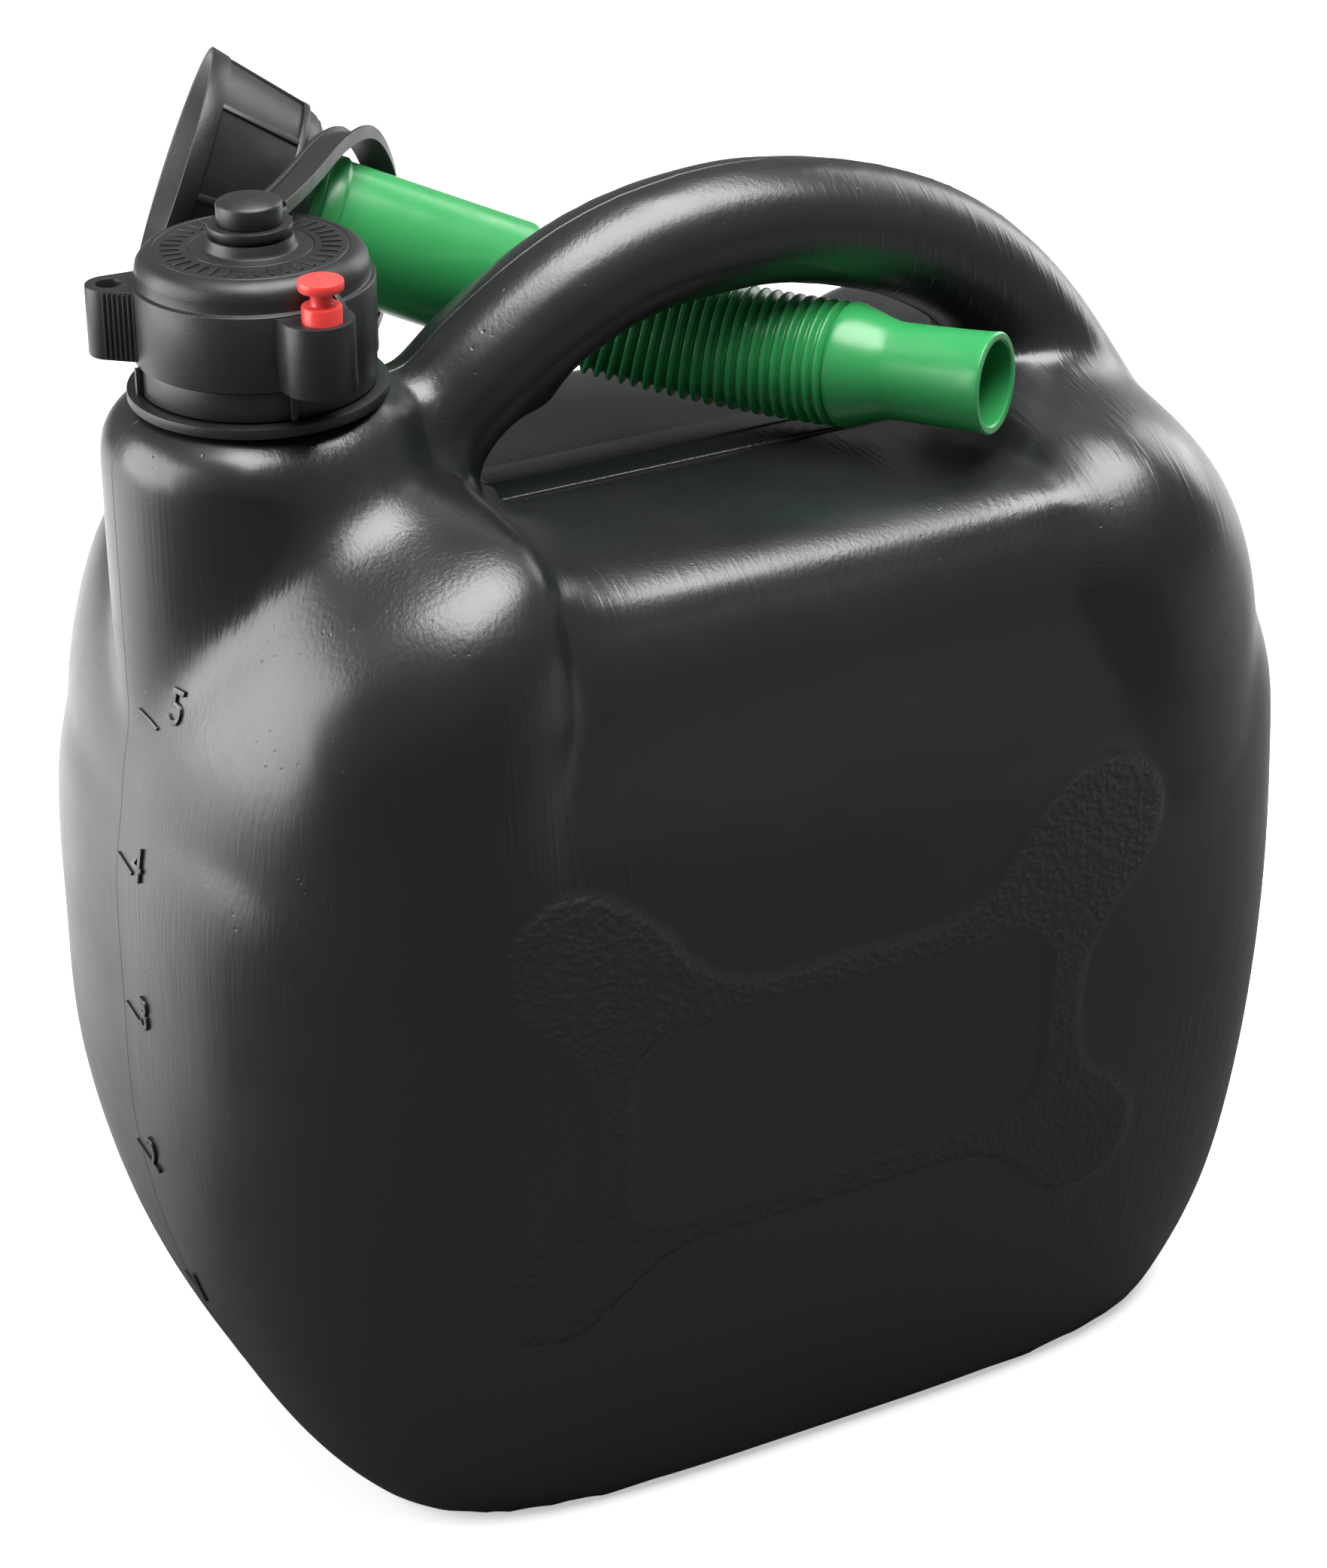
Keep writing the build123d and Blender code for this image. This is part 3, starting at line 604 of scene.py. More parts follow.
def carve_flanks(piece):
    """Sets the flanks below the hand gap back, so that both domes slope down to a crease."""
    places, _, _ = mesh_arrays(piece.data)
    x, y, z = places.T / MM
    drift = CREASE_DRIFT * (1 - ramp(z, 162, 184))
    from_front = ramp(x - FRONT_CREASE_X + drift, -FLANK_SLOPE_LENGTH, 0)
    from_rear = ramp(REAR_CREASE_X + drift - x, -FLANK_SLOPE_LENGTH, 0)
    height = ramp(z, 150, 184)
    depth = (from_front * from_rear) ** 2.4 * height * height * (3 - 2 * height) * ramp(abs(y), 44, 62)
    places[:, 1] -= np.sign(y) * depth * FLANK_DEPTH * MM
    piece.data.vertices.foreach_set("co", places.ravel())
    piece.data.update()
    grid = piece.modifiers.new("grid", "SMOOTH")
    grid.iterations = SKIN_ROUNDS
    grid.factor = 0.5
    return apply_modifiers(piece)


smooth_skin(can_body)
carve_flanks(can_body)

# %% [markdown]
# The side panel
#
# Both sides of the can have a shallow panel: a frame shaped like two bones joined by two bars, with a
# leather grain, round a plain window. Its outline is a closed curve through a few points, given as
# distances from the panel's own middle. The skin is split finer there first, then pushed out inside the
# outline, and the same measure drives the grain's attribute.

# %% Raise the panel
PANEL_MIDDLE = Vector((-5.5 * MM, 0, 98 * MM))
PANEL_HALF_OUTLINE = [
    (0, 29), (22, 29.5), (30, 33), (42, 46.5), (55, 54.5), (66, 52.5), (72.5, 43.5), (70.5, 33),
    (60, 20), (55.5, 10), (55, -2), (58, -13.5), (67, -22), (72.5, -32), (71, -41), (64, -46.5),
    (54, -46.5), (44, -38), (34, -30.5), (22, -29.7), (0, -29.7),
]
PANEL_WINDOW = (45.5, 21.5)
PANEL_WINDOW_CORNER = 9
PANEL_RISE = 0.45 * MM
PANEL_EDGE = 1.3 * MM
PANEL_SIDE_Y = 0.05


def outline_points(half_outline):
    """A smooth closed outline from its left half, as points in metres about the panel's middle."""
    left = [(-u * MM, v * MM) for u, v in half_outline]
    right = [(-x, z) for x, z in left[-2:0:-1]]
    curve = bpy.data.curves.new("outline", "CURVE")
    spline = curve.splines.new("BEZIER")
    spline.bezier_points.add(len(left + right) - 1)
    for point, (x, z) in zip(spline.bezier_points, left + right):
        point.co = (x, z, 0)
        point.handle_left_type = "AUTO"
        point.handle_right_type = "AUTO"
    spline.use_cyclic_u = True
    return np.array([v.co[:2] for v in curve_mesh(curve).vertices])


def depth_inside(points, outline):
    """How far each point lies inside a closed outline; negative outside."""
    run = np.roll(outline, -1, axis=0) - outline
    nearest = np.full(len(points), np.inf)
    inside = np.zeros(len(points), bool)
    for a, b, d in zip(outline, np.roll(outline, -1, axis=0), run):
        share = np.clip(((points - a) @ d) / max(d @ d, 1e-12), 0, 1)
        nearest = np.minimum(nearest, np.linalg.norm(points - (a + share[:, None] * d), axis=1))
        crosses = (a[1] > points[:, 1]) != (b[1] > points[:, 1])
        with np.errstate(divide="ignore", invalid="ignore"):
            at = a[0] + (points[:, 1] - a[1]) * d[0] / d[1]
        inside ^= crosses & (points[:, 0] < at)
    return np.where(inside, nearest, -nearest)


def depth_in_window(points, half_size, corner):
    """How far each point lies inside a rectangle with round corners; negative outside."""
    reach = np.abs(points) - (np.array(half_size) - corner) * MM
    out = np.linalg.norm(np.maximum(reach, 0), axis=1)
    return corner * MM - out - np.minimum(np.maximum(reach[:, 0], reach[:, 1]), 0)


def raise_panel(piece):
    """Splits the skin finer at the panels and pushes the frame out, and stores the grain."""
    shape = bmesh.new()
    shape.from_mesh(piece.data)
    wide = (max(u for u, v in PANEL_HALF_OUTLINE) + 4) * MM
    tall = (max(abs(v) for u, v in PANEL_HALF_OUTLINE) + 4) * MM
    near = [
        edge for edge in shape.edges
        if all(
            abs(v.co.y) > PANEL_SIDE_Y
            and abs(v.co.x - PANEL_MIDDLE.x) < wide
            and abs(v.co.z - PANEL_MIDDLE.z) < tall
            for v in edge.verts
        )
    ]
    bmesh.ops.subdivide_edges(shape, edges=near, cuts=1, use_grid_fill=True)
    shape.to_mesh(piece.data)
    shape.free()
    places, normals, _ = mesh_arrays(piece.data)
    flat = places[:, [0, 2]] - np.array([PANEL_MIDDLE.x, PANEL_MIDDLE.z])
    depth = np.minimum(
        depth_inside(flat, outline_points(PANEL_HALF_OUTLINE)),
        -depth_in_window(flat, PANEL_WINDOW, PANEL_WINDOW_CORNER),
    )
    on_side = np.clip((np.abs(normals[:, 1]) - 0.6) / 0.1, 0, 1)
    share = np.clip(depth / PANEL_EDGE + 0.5, 0, 1)
    rise = share * share * (3 - 2 * share) * on_side
    places += normals * (rise * PANEL_RISE)[:, None]
    piece.data.vertices.foreach_set("co", places.ravel())
    grain = np.clip(depth / PANEL_EDGE - 0.3, 0, 1) * on_side
    attribute = piece.data.attributes.new("grain", "FLOAT", "POINT")
    attribute.data.foreach_set("value", grain.astype(np.float32))
    piece.data.update()
    print("panel vertices:", int((rise > 0.5).sum()), "faces:", len(piece.data.polygons))
    return piece


raise_panel(can_body)
can_body.data.materials.clear()
can_body.data.materials.append(can_plastic)
for face in can_body.data.polygons:
    face.use_smooth = True
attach(can_body, "can")
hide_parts("tank")

# %% [markdown]
# Something to press against
#
# Raised marks follow the skin. A tree of the skin's faces tells quickly where a line from outside meets
# it.

# %% A tree of the skin
skin_tree = BVHTree.FromObject(can_body, bpy.context.evaluated_depsgraph_get())


def front_of_can(y, z):
    """The place on the front of the skin at that height."""
    return skin_tree.ray_cast(Vector((-0.3, y, z)), Vector((1, 0, 0)))[0]


print("the front of the can is at x", round(front_of_can(0, 0.1).x, 4))


# %% [markdown]
# The mould's parting line
#
# Two mould halves meet in the middle of the can and leave a fine ridge all round it, which is cut out of
# a copy of the skin as a narrow strip with bisect planes, and lifted along the normals. Under the handle,
# where the mould pinches the tube shut, the ridge stands on a flat band. That one is a plate with round
# corners, because it lies on the flat of the saddle and its rim is crisp.

# %% Parting ridge and pinch band
RIDGE_HALF_WIDTH = 0.3 * MM
RIDGE_RISE = 0.16 * MM
RIDGE_FRONT_X = -100 * MM
RIDGE_FRONT_SHARE = 0.25
BAND_FRONT = -50.5
BAND_REAR = 46.0
BAND_HALF_WIDTH = 7.8
BAND_RISE = 0.6
STRIP_SINK = 0.15 * MM


def skin_strip(half_width):
    """A strip of the skin about the middle plane, cut along the middle too."""
    strip = bmesh.new()
    strip.from_mesh(can_body.data)
    for level, clear in ((-half_width, True), (half_width, True), (0, False)):
        bmesh.ops.bisect_plane(
            strip, geom=strip.verts[:] + strip.edges[:] + strip.faces[:], dist=0.00001 * MM,
            plane_co=(0, level, 0), plane_no=(0, math.copysign(1, level), 0), clear_outer=clear,
        )
    return strip


def lift_middle(strip, rise):
    """Lifts the strip's middle line along the normals and sinks its rims into the skin."""
    strip.normal_update()
    moves = []
    for vertex in strip.verts:
        share = RIDGE_FRONT_SHARE if vertex.co.x < RIDGE_FRONT_X else 1
        on_line = abs(vertex.co.y) < 0.01 * MM
        moves.append((vertex, vertex.normal * (share * rise if on_line else -STRIP_SINK)))
    for vertex, move in moves:
        vertex.co += move
    return strip


def saddle_band():
    """A flat plate with round corners and a fine ridge along its middle, from z = 0 up."""
    plate = bmesh.new()
    bmesh.ops.create_grid(plate, x_segments=1, y_segments=1, size=0.5)
    bmesh.ops.scale(
        plate, vec=((BAND_REAR - BAND_FRONT) * MM, 2 * BAND_HALF_WIDTH * MM, 1), verts=plate.verts
    )
    bmesh.ops.bevel(
        plate, geom=plate.verts[:], offset=(BAND_HALF_WIDTH - 0.6) * MM, offset_type="OFFSET", segments=10,
        affect="VERTICES", profile=0.5, material=-1,
    )
    thicken(plate, 2 * BAND_RISE)
    bmesh.ops.recalc_face_normals(plate, faces=plate.faces)
    soften(plate, 0.5, angle=50, segments=3)
    line = block(BAND_REAR - BAND_FRONT - 3, 0.5, 0.9, 0.15)
    return add_to(plate, line, Matrix.Translation((0, 0, (2 * BAND_RISE - 0.65) * MM)))


ridge = lift_middle(skin_strip(RIDGE_HALF_WIDTH), RIDGE_RISE)
neck_zone = [v for v in ridge.verts if v.co.z > shoulder_top - 1 * MM and near_neck(v.co)]
bmesh.ops.delete(ridge, geom=neck_zone, context="VERTS")
finish_piece("parting_ridge", ridge, "black_polyethylene", "can", sharp=60)
saddle_top = skin_tree.ray_cast(Vector((0, -0.03, 0.215)), Vector((0, 0, -1)))[0].z
finish_piece(
    "pinch_band", saddle_band(), "black_polyethylene", "can", sharp=40,
    place=Matrix.Translation(((BAND_FRONT + BAND_REAR) / 2 * MM, 0, saddle_top - BAND_RISE * MM)),
)
print("saddle at", round(saddle_top, 4))

# %% [markdown]
# Litre marks
#
# The front of the can is marked from 1 to 5 litres. Each mark is a short raised bar that starts near the
# parting line and drops a little, with its number beside it. The bars and numbers are made flat first,
# then every vertex is laid on the skin by a line from the front.

# %% Marks and numbers
MARK_STARTS = {5: (-4.9, 176.0), 4: (-0.8, 145.2), 3: (-1.6, 113.3), 2: (1.6, 80.0), 1: (2.0, 46.0)}
MARK_LENGTH = 7.3
MARK_DROP = 1.3
MARK_THICKNESS = 0.75
MARK_RISE = 0.45 * MM
MARK_SLANT = -math.atan2(MARK_DROP, MARK_LENGTH)
NUMBER_SIZE = 9.8 * MM
NUMBER_FROM_START = (9.5, 1.5)
TOP_NUMBER_FROM_START = (12.2, 4.5)


def facing_front(stand_out):
    """Turns a flat shape to face the front of the can; its x then says how far it stands out."""
    return Matrix(((0, 0, 1, stand_out), (-1, 0, 0, 0), (0, 1, 0, 0), (0, 0, 0, 1)))


def lay_on_front(shape):
    """Lays a flat shape on the front of the can: its x is how far it stands out."""
    for vertex in shape.verts:
        place = front_of_can(vertex.co.y, vertex.co.z)
        if place is not None:
            vertex.co.x = place.x - vertex.co.x
    return shape


def mark_bar(start_y, start_z):
    """One bar that runs from its start towards the near side, dropping a little."""
    bar = bmesh.new()
    bmesh.ops.create_grid(bar, x_segments=8, y_segments=2, size=0.5)
    bmesh.ops.scale(bar, vec=(MARK_LENGTH * MM, MARK_THICKNESS * MM, 1), verts=bar.verts)
    thicken(bar, (MARK_RISE + STRIP_SINK) / MM)
    soften(bar, 0.2, angle=50)
    bmesh.ops.rotate(bar, cent=(0, 0, 0), matrix=Matrix.Rotation(MARK_SLANT, 3, "Z"), verts=bar.verts)
    middle = (0, (start_y - MARK_LENGTH / 2) * MM, (start_z - MARK_DROP / 2) * MM)
    bar.transform(Matrix.Translation(middle) @ facing_front(-STRIP_SINK))
    return lay_on_front(bar)


def mark_number(number, start_y, start_z):
    """The litre number beside its bar, as a raised mesh."""
    text = bpy.data.curves.new("number", "FONT")
    text.body = str(number)
    text.size = NUMBER_SIZE
    text.extrude = (MARK_RISE + STRIP_SINK) / 2
    text.bevel_depth = 0.06 * MM
    text.bevel_resolution = 1
    text.align_x = "CENTER"
    text.align_y = "CENTER"
    mesh = curve_mesh(text)
    digit = bmesh.new()
    digit.from_mesh(mesh)
    bpy.data.meshes.remove(mesh)
    bmesh.ops.remove_doubles(digit, verts=digit.verts, dist=0.003 * MM)
    aside, above = TOP_NUMBER_FROM_START if number == max(MARK_STARTS) else NUMBER_FROM_START
    middle = (0, (start_y - aside) * MM, (start_z + above) * MM)
    digit.transform(Matrix.Translation(middle) @ facing_front(MARK_RISE / 2))
    return lay_on_front(digit)


for litres, start in MARK_STARTS.items():
    bar_shape = add_to(mark_bar(*start), mark_number(litres, *start))
    finish_piece(
        f"litre_mark_{litres}", bar_shape, "black_polyethylene", "can", sharp=50, fix_normals=True
    )

# %% [markdown]
# The neck and its thread
#
# The neck is a plain ring with a rounded lip. Its thread is one ridge that climbs two turns. A ridge like
# that is a small profile that is spun and lifted at the same time, which is what the spin operator's dvec
# is for.

# %% Neck and thread
NECK_RADIUS = 17.0
NECK_BORE = 14.8
THREAD_DEPTH = 1.2
THREAD_PITCH = 4.5
THREAD_WIDTH = 2.0
THREAD_BORE = 18.55
THREAD_STEPS = 64
NECK_THREAD_START = 6.5
CAP_THREAD_START = 240.25
COLLAR_THREAD_START = 11


def thread_ridge(root, depth, turns, start):
    """A helical ridge of the given turns; a negative depth stands inwards."""
    ridge_shape = bmesh.new()
    sink = -math.copysign(0.4, depth)
    half = THREAD_WIDTH / 2
    section = [
        (root + sink, -half), (root, -half), (root + depth, -half / 2), (root + depth, half / 2),
        (root, half), (root + sink, half),
    ]
    points = [ridge_shape.verts.new((r * MM, 0, (start + z) * MM)) for r, z in section]
    face = ridge_shape.faces.new(points)
    count = int(THREAD_STEPS * turns)
    bmesh.ops.spin(
        ridge_shape, geom=[face], cent=(0, 0, 0), axis=(0, 0, 1), angle=FULL_TURN * turns, steps=count,
        dvec=(0, 0, THREAD_PITCH * turns / count * MM), use_duplicate=False,
    )
    bmesh.ops.recalc_face_normals(ridge_shape, faces=ridge_shape.faces)
    return ridge_shape


neck_low = shoulder_top / MM - 0.4
neck_high = neck_top / MM
neck_profile = [
    (NECK_BORE, neck_low), (NECK_RADIUS, neck_low), (NECK_RADIUS, neck_high), (NECK_BORE, neck_high),
]
neck_shape = soften(turned(neck_profile), 0.5)
add_to(neck_shape, thread_ridge(NECK_RADIUS, THREAD_DEPTH, 2, shoulder_top / MM + NECK_THREAD_START))
finish_piece("can_neck", neck_shape, "black_polyethylene", "can", place=on_neck, fix_normals=True)

# %% [markdown]
# The screw cap
#
# The cap is two cups, one inside the other: the inner one holds the thread, and the outer shell only
# turns it once the red pin is pressed. What shows is the shell, with a rounded crown, two rings engraved
# in its top, and a raised boss in the middle. Its profile is drawn with its wall, spun, and softened. The
# plain ticks between the rings are a generic grip mark.

# %% Cap shell
SHELL_STEPS = 144
shell_profile = [
    (20.85, 239.9), (22.3, 239.9), (22.3, 253.9), (22.15, 254.15), (21.4, 254.35), (21.3, 254.6),
    (21.3, 256.2), (21.02, 257.6), (20.25, 258.75), (19.1, 259.52), (17.95, 259.8), (17.85, 259.62),
    (17.65, 259.62), (17.55, 259.8), (11.45, 259.8), (11.38, 259.62), (11.22, 259.62), (11.15, 259.8),
    (9.1, 259.8), (8.5, 259.95), (8.15, 260.6), (7.8, 262.0), (3.5, 262.0), (3.5, 260.0), (4.7, 260.0),
    (4.7, 258.0), (19.95, 258.0), (19.95, 253.4), (20.85, 252.5),
]
PIN_ANGLE = -86
PIN_REACH = 26.5
LUG_TOP = 253.8
LUG_HEIGHT = 13.3
LUG_BASE = LUG_TOP - LUG_HEIGHT
PIN_LUG_MIDDLE = 24.65
PIN_LUG_RADIUS = 6.7
PIN_LUG_BACK = -3.4
PIN_HOLE_RADIUS = 3.75
PIN_SLOT_WIDTH = 3.2
PIN_SLOT_LENGTH = 6.0
PIN_SLOT_REACH = 4.4
EYE_ANGLE = 157.4
EYE_REACH = 25.9
EYE_TIP_RADIUS = 4.4
EYE_HOLE_RADIUS = 2.25
EYE_ROOT_RADIUS = 8.5
SHELL_MIDDLE_RADIUS = 21.6
CAP_TICKS = 36
TICK_SIZE = (3.6, 0.75, 0.45)
TICK_REACH = 14.6
TICK_BASE = 259.65


def cut(shape, *cutters):
    """The shape without what each cutter takes out of it."""
    piece = loose_object("uncut", shape)
    for cutter in cutters:
        tool = loose_object("cutter", cutter)
        hole = piece.modifiers.new("hole", "BOOLEAN")
        hole.object = tool
        hole.operation = "DIFFERENCE"
        hole.solver = "EXACT"
        apply_modifiers(piece)
        bpy.data.objects.remove(tool)
    left = bmesh.new()
    left.from_mesh(piece.data)
    bpy.data.objects.remove(piece)
    return left


def rod(radius, low, high, segments=48):
    """An upright rod between two heights, in millimetres."""
    shape = bmesh.new()
    bmesh.ops.create_cone(
        shape, cap_ends=True, segments=segments, radius1=radius * MM, radius2=radius * MM,
        depth=(high - low) * MM,
    )
    return shift(shape, z=(low + high) / 2)


def pin_lug():
    """The half-round block that the pin slides in, with its hole and key slot."""
    lug = bmesh.new()
    ring = bmesh.ops.create_circle(lug, cap_ends=True, radius=PIN_LUG_RADIUS * MM, segments=64)
    for vertex in ring["verts"]:
        if vertex.co.x < -0.1 * MM:
            vertex.co.x = PIN_LUG_BACK * MM
            vertex.co.y = math.copysign(PIN_LUG_RADIUS * MM, vertex.co.y)
    bmesh.ops.remove_doubles(lug, verts=lug.verts, dist=0.01 * MM)
    thicken(lug, LUG_HEIGHT)
    bmesh.ops.recalc_face_normals(lug, faces=lug.faces)
    hole_x = PIN_REACH - PIN_LUG_MIDDLE
    hole = shift(rod(PIN_HOLE_RADIUS, -2, LUG_HEIGHT + 2, 64), hole_x)
    slot_x = hole_x - PIN_SLOT_REACH + PIN_SLOT_LENGTH / 2
    slot = shift(block(PIN_SLOT_LENGTH, PIN_SLOT_WIDTH, LUG_HEIGHT), slot_x, -2)
    return soften(cut(lug, hole, slot), 0.28, angle=40)


def eye_lug():
    """The tapered block with an eye."""
    lug = rod(EYE_TIP_RADIUS, 0, LUG_HEIGHT)
    add_to(lug, shift(rod(EYE_ROOT_RADIUS, 0, LUG_HEIGHT), -EYE_REACH / 2))
    bmesh.ops.delete(lug, geom=lug.edges[:], context="EDGES_FACES")
    hull = bmesh.ops.convex_hull(lug, input=lug.verts[:])
    inner = [item for item in hull["geom_interior"] if isinstance(item, bmesh.types.BMVert)]
    bmesh.ops.delete(lug, geom=inner, context="VERTS")
    bmesh.ops.dissolve_limit(lug, angle_limit=math.radians(1), verts=lug.verts, edges=lug.edges)
    bmesh.ops.recalc_face_normals(lug, faces=lug.faces)
    eye = rod(EYE_HOLE_RADIUS, -2, LUG_HEIGHT + 2)
    clear = shift(rod(SHELL_MIDDLE_RADIUS, -2, LUG_HEIGHT + 2, SHELL_STEPS), -EYE_REACH)
    return soften(cut(lug, eye, clear), 0.3, angle=40)


FLANK_RIBS = 7
FLANK_RIB_PITCH = 0.95
FLANK_RIB_WIDTH = 0.45


def flank_ribs():
    """Fine upright ribs on the flank of the eye lug that is turned to the front."""
    ribs = bmesh.new()
    taper = math.asin((EYE_ROOT_RADIUS - EYE_TIP_RADIUS) / (EYE_REACH / 2))
    start = Vector((EYE_TIP_RADIUS * math.sin(taper), EYE_TIP_RADIUS * math.cos(taper), 0))
    along = Vector((-math.cos(taper), math.sin(taper), 0))
    for index in range(FLANK_RIBS):
        point = start + along * (index + 0.5) * FLANK_RIB_PITCH
        rib = block(FLANK_RIB_WIDTH, 0.7, LUG_HEIGHT - 0.6, 0.12)
        turn = Matrix.Rotation(math.atan2(along.y, along.x), 4, "Z")
        add_to(ribs, rib, Matrix.Translation((point.x * MM, point.y * MM, 0.3 * MM)) @ turn)
    return ribs


WEB_ANGLE = -71
WEB_START = 21.0
WEB_REACH = 3.6
WEB_HEIGHT = 2.6


def lug_web():
    """A small three-cornered web that stands on the pin lug against the shell."""
    web = block(WEB_REACH, 1.1, WEB_HEIGHT)
    for vertex in web.verts:
        if vertex.co.x > 0 and vertex.co.z > WEB_HEIGHT * MM / 2:
            vertex.co.x -= WEB_REACH * 0.75 * MM
    return soften(shift(web, WEB_REACH / 2), 0.18)


shell_shape = soften(turned(shell_profile, SHELL_STEPS), 0.18, angle=35)
add_to(shell_shape, pin_lug(), spoke(PIN_ANGLE, PIN_LUG_MIDDLE, LUG_BASE))
for eye_part in (eye_lug, flank_ribs):
    add_to(shell_shape, eye_part(), spoke(EYE_ANGLE, EYE_REACH, LUG_BASE))
add_to(shell_shape, lug_web(), spoke(WEB_ANGLE, WEB_START, LUG_TOP - 0.2))
for index in range(CAP_TICKS):
    add_to(shell_shape, block(*TICK_SIZE, 0.15), spoke(360 * index / CAP_TICKS, TICK_REACH, TICK_BASE))
finish_piece("cap_outer", shell_shape, "black_cap_plastic", "outer_cap", ("cap_shell",), on_neck)

# %% [markdown]
# Inside the cap
#
# Under the shell sits the threaded cap. Its ribbed band is the narrow ring that shows below the shell,
# and the tether's loose ring lies under it. Both are turned, and four small ribs stand on the band.

# %% Inner cap and neck ring
inner_profile = [
    (0, 255.4), (THREAD_BORE, 255.4), (THREAD_BORE, 234.2), (21.7, 234.2), (21.7, 239.6), (20.5, 239.6),
    (20.5, 252.2), (19.6, 253.1), (19.6, 257.4), (0, 257.4),
]
BAND_RIBS = 4
BAND_RIB_ANGLE = -96.6
BAND_RIB_REACH = 21.7
BAND_BASE = 234.2
inner_shape = soften(turned(inner_profile, closed=False), 0.25, angle=35)
for index in range(BAND_RIBS):
    rib_angle = BAND_RIB_ANGLE + index * 360 / BAND_RIBS
    add_to(inner_shape, block(2.4, 1.1, 5.4, 0.2), spoke(rib_angle, BAND_RIB_REACH, BAND_BASE))
add_to(inner_shape, thread_ridge(THREAD_BORE, -THREAD_DEPTH, 1, CAP_THREAD_START))
finish_piece("cap_inner", inner_shape, "black_cap_plastic", "inner_cap", ("cap_insert",), on_neck)

RING_TAB_ANGLE = 46.9
RING_BASE = 231.8
RING_TOP = 233.8
ring_profile = [(18.9, RING_BASE), (24.0, RING_BASE), (24.0, RING_TOP), (18.9, RING_TOP)]
ring_shape = soften(turned(ring_profile), 0.2)
add_to(ring_shape, block(5.0, 6.2, 2.0, 0.3), spoke(RING_TAB_ANGLE, 25.3, RING_BASE))
finish_piece("neck_ring", ring_shape, "black_cap_plastic", "can", ("tether_ring",), on_neck)

# %% [markdown]
# Eyelet, rivet and pin
#
# The eyelet of the tether turns under a domed rivet in the middle of the cap. The red pin is a small
# spool: a head to pull, a thin neck, and a round foot with a key.

# %% Eyelet, rivet and pin
EYELET_TAB_ANGLE = 45
eyelet_profile = [(3.8, 262.1), (7.0, 262.1), (7.1, 262.75), (7.75, 262.85), (7.75, 264.3), (3.8, 264.3)]
eyelet_shape = soften(turned(eyelet_profile), 0.18)
add_to(eyelet_shape, block(4.4, 6.2, 2.0, 0.3), spoke(EYELET_TAB_ANGLE, 8.6, 262.2))
finish_piece("eyelet", eyelet_shape, "black_cap_plastic", "eyelet", ("tether_eyelet",), on_neck)

button_profile = [
    (0, 258.9), (4.6, 258.9), (4.6, 259.7), (3.4, 259.7), (3.4, 264.4), (6.0, 264.4), (6.05, 267.8),
    (5.85, 268.15), (5.3, 268.45), (4.0, 268.9), (2.1, 269.3), (0, 269.45),
]
button_shape = soften(turned(button_profile, closed=False), 0.2, angle=45)
finish_piece("rivet", button_shape, "black_cap_plastic", "outer_cap", ("cap_button",), on_neck)

PIN_BASE = 242.8
pin_profile = [
    (0, PIN_BASE), (3.65, PIN_BASE), (3.65, 256.8), (2.0, 256.8), (2.0, 259.6), (4.15, 259.6),
    (4.15, 261.5), (0, 261.5),
]
pin_shape = soften(turned(pin_profile, 64, closed=False), 0.35, angle=35)
add_to(pin_shape, shift(block(4.3, 3.0, 3.0, 0.2), -2.15, PIN_BASE))
finish_piece(
    "red_pin", pin_shape, "red_plastic", "pin", ("safety_pin",), on_neck @ spoke(PIN_ANGLE, PIN_REACH)
)
for seal in ("cap_gasket", "spout_gasket"):
    seal_mesh = frame["nodes"][seal].data
    seal_mesh.materials.clear()
    seal_mesh.materials.append(FINISHES["seal_rubber"])

# %% [markdown]
# The spout's line
#
# The spout runs straight from its collar, bends in its bellows, and ends in a nozzle. Everything on it is
# drawn upright first, with z as the distance from the mouth, and then moved: straight pieces by one
# matrix, and the bellows by wrapping its length round the arc.

# %% The spout's line
SPOUT_STRAIGHT = 71.7
BELLOWS_LENGTH = 66.3
NOZZLE_LENGTH = 31.9
BEND_ANGLE = math.radians(39)
bend_radius = BELLOWS_LENGTH / BEND_ANGLE
lean = bend_axis.cross(spout_run)


def spout_place(distance_mm):
    """The place on the spout's line at a distance from its mouth, its z running down the spout."""
    over = max(distance_mm - SPOUT_STRAIGHT, 0)
    angle = min(over / bend_radius, BEND_ANGLE)
    along = spout_run * math.cos(angle) + lean * math.sin(angle)
    point = spout_mouth + spout_run * (min(distance_mm, SPOUT_STRAIGHT) + bend_radius * math.sin(angle)) * MM
    point += lean * bend_radius * (1 - math.cos(angle)) * MM
    point += along * max(over - BELLOWS_LENGTH, 0) * MM
    turn = Matrix((bend_axis, along.cross(bend_axis), along)).transposed().to_4x4()
    return Matrix.Translation(point) @ turn


def wrap_round_bend(shape):
    """Moves a shape that is drawn upright onto the spout's line, each vertex by its own distance."""
    for vertex in shape.verts:
        flat = Vector((vertex.co.x, vertex.co.y, 0))
        vertex.co = spout_place(vertex.co.z / MM) @ flat
    return shape


on_spout = spout_place(0)
nozzle_end = spout_place(SPOUT_STRAIGHT + BELLOWS_LENGTH + NOZZLE_LENGTH).translation
print("spout from", [round(v, 4) for v in spout_mouth], "to", [round(v, 4) for v in nozzle_end])

# %% [markdown]
# The screw collar
#
# The black collar screws the spout to the neck once the cap is off. It is a flared skirt with a thicker
# rim, and raised ribs along it leave flat panels between them for the fingers. It is turned with its
# wall, and each rib is a tapered block that is laid along the skirt.

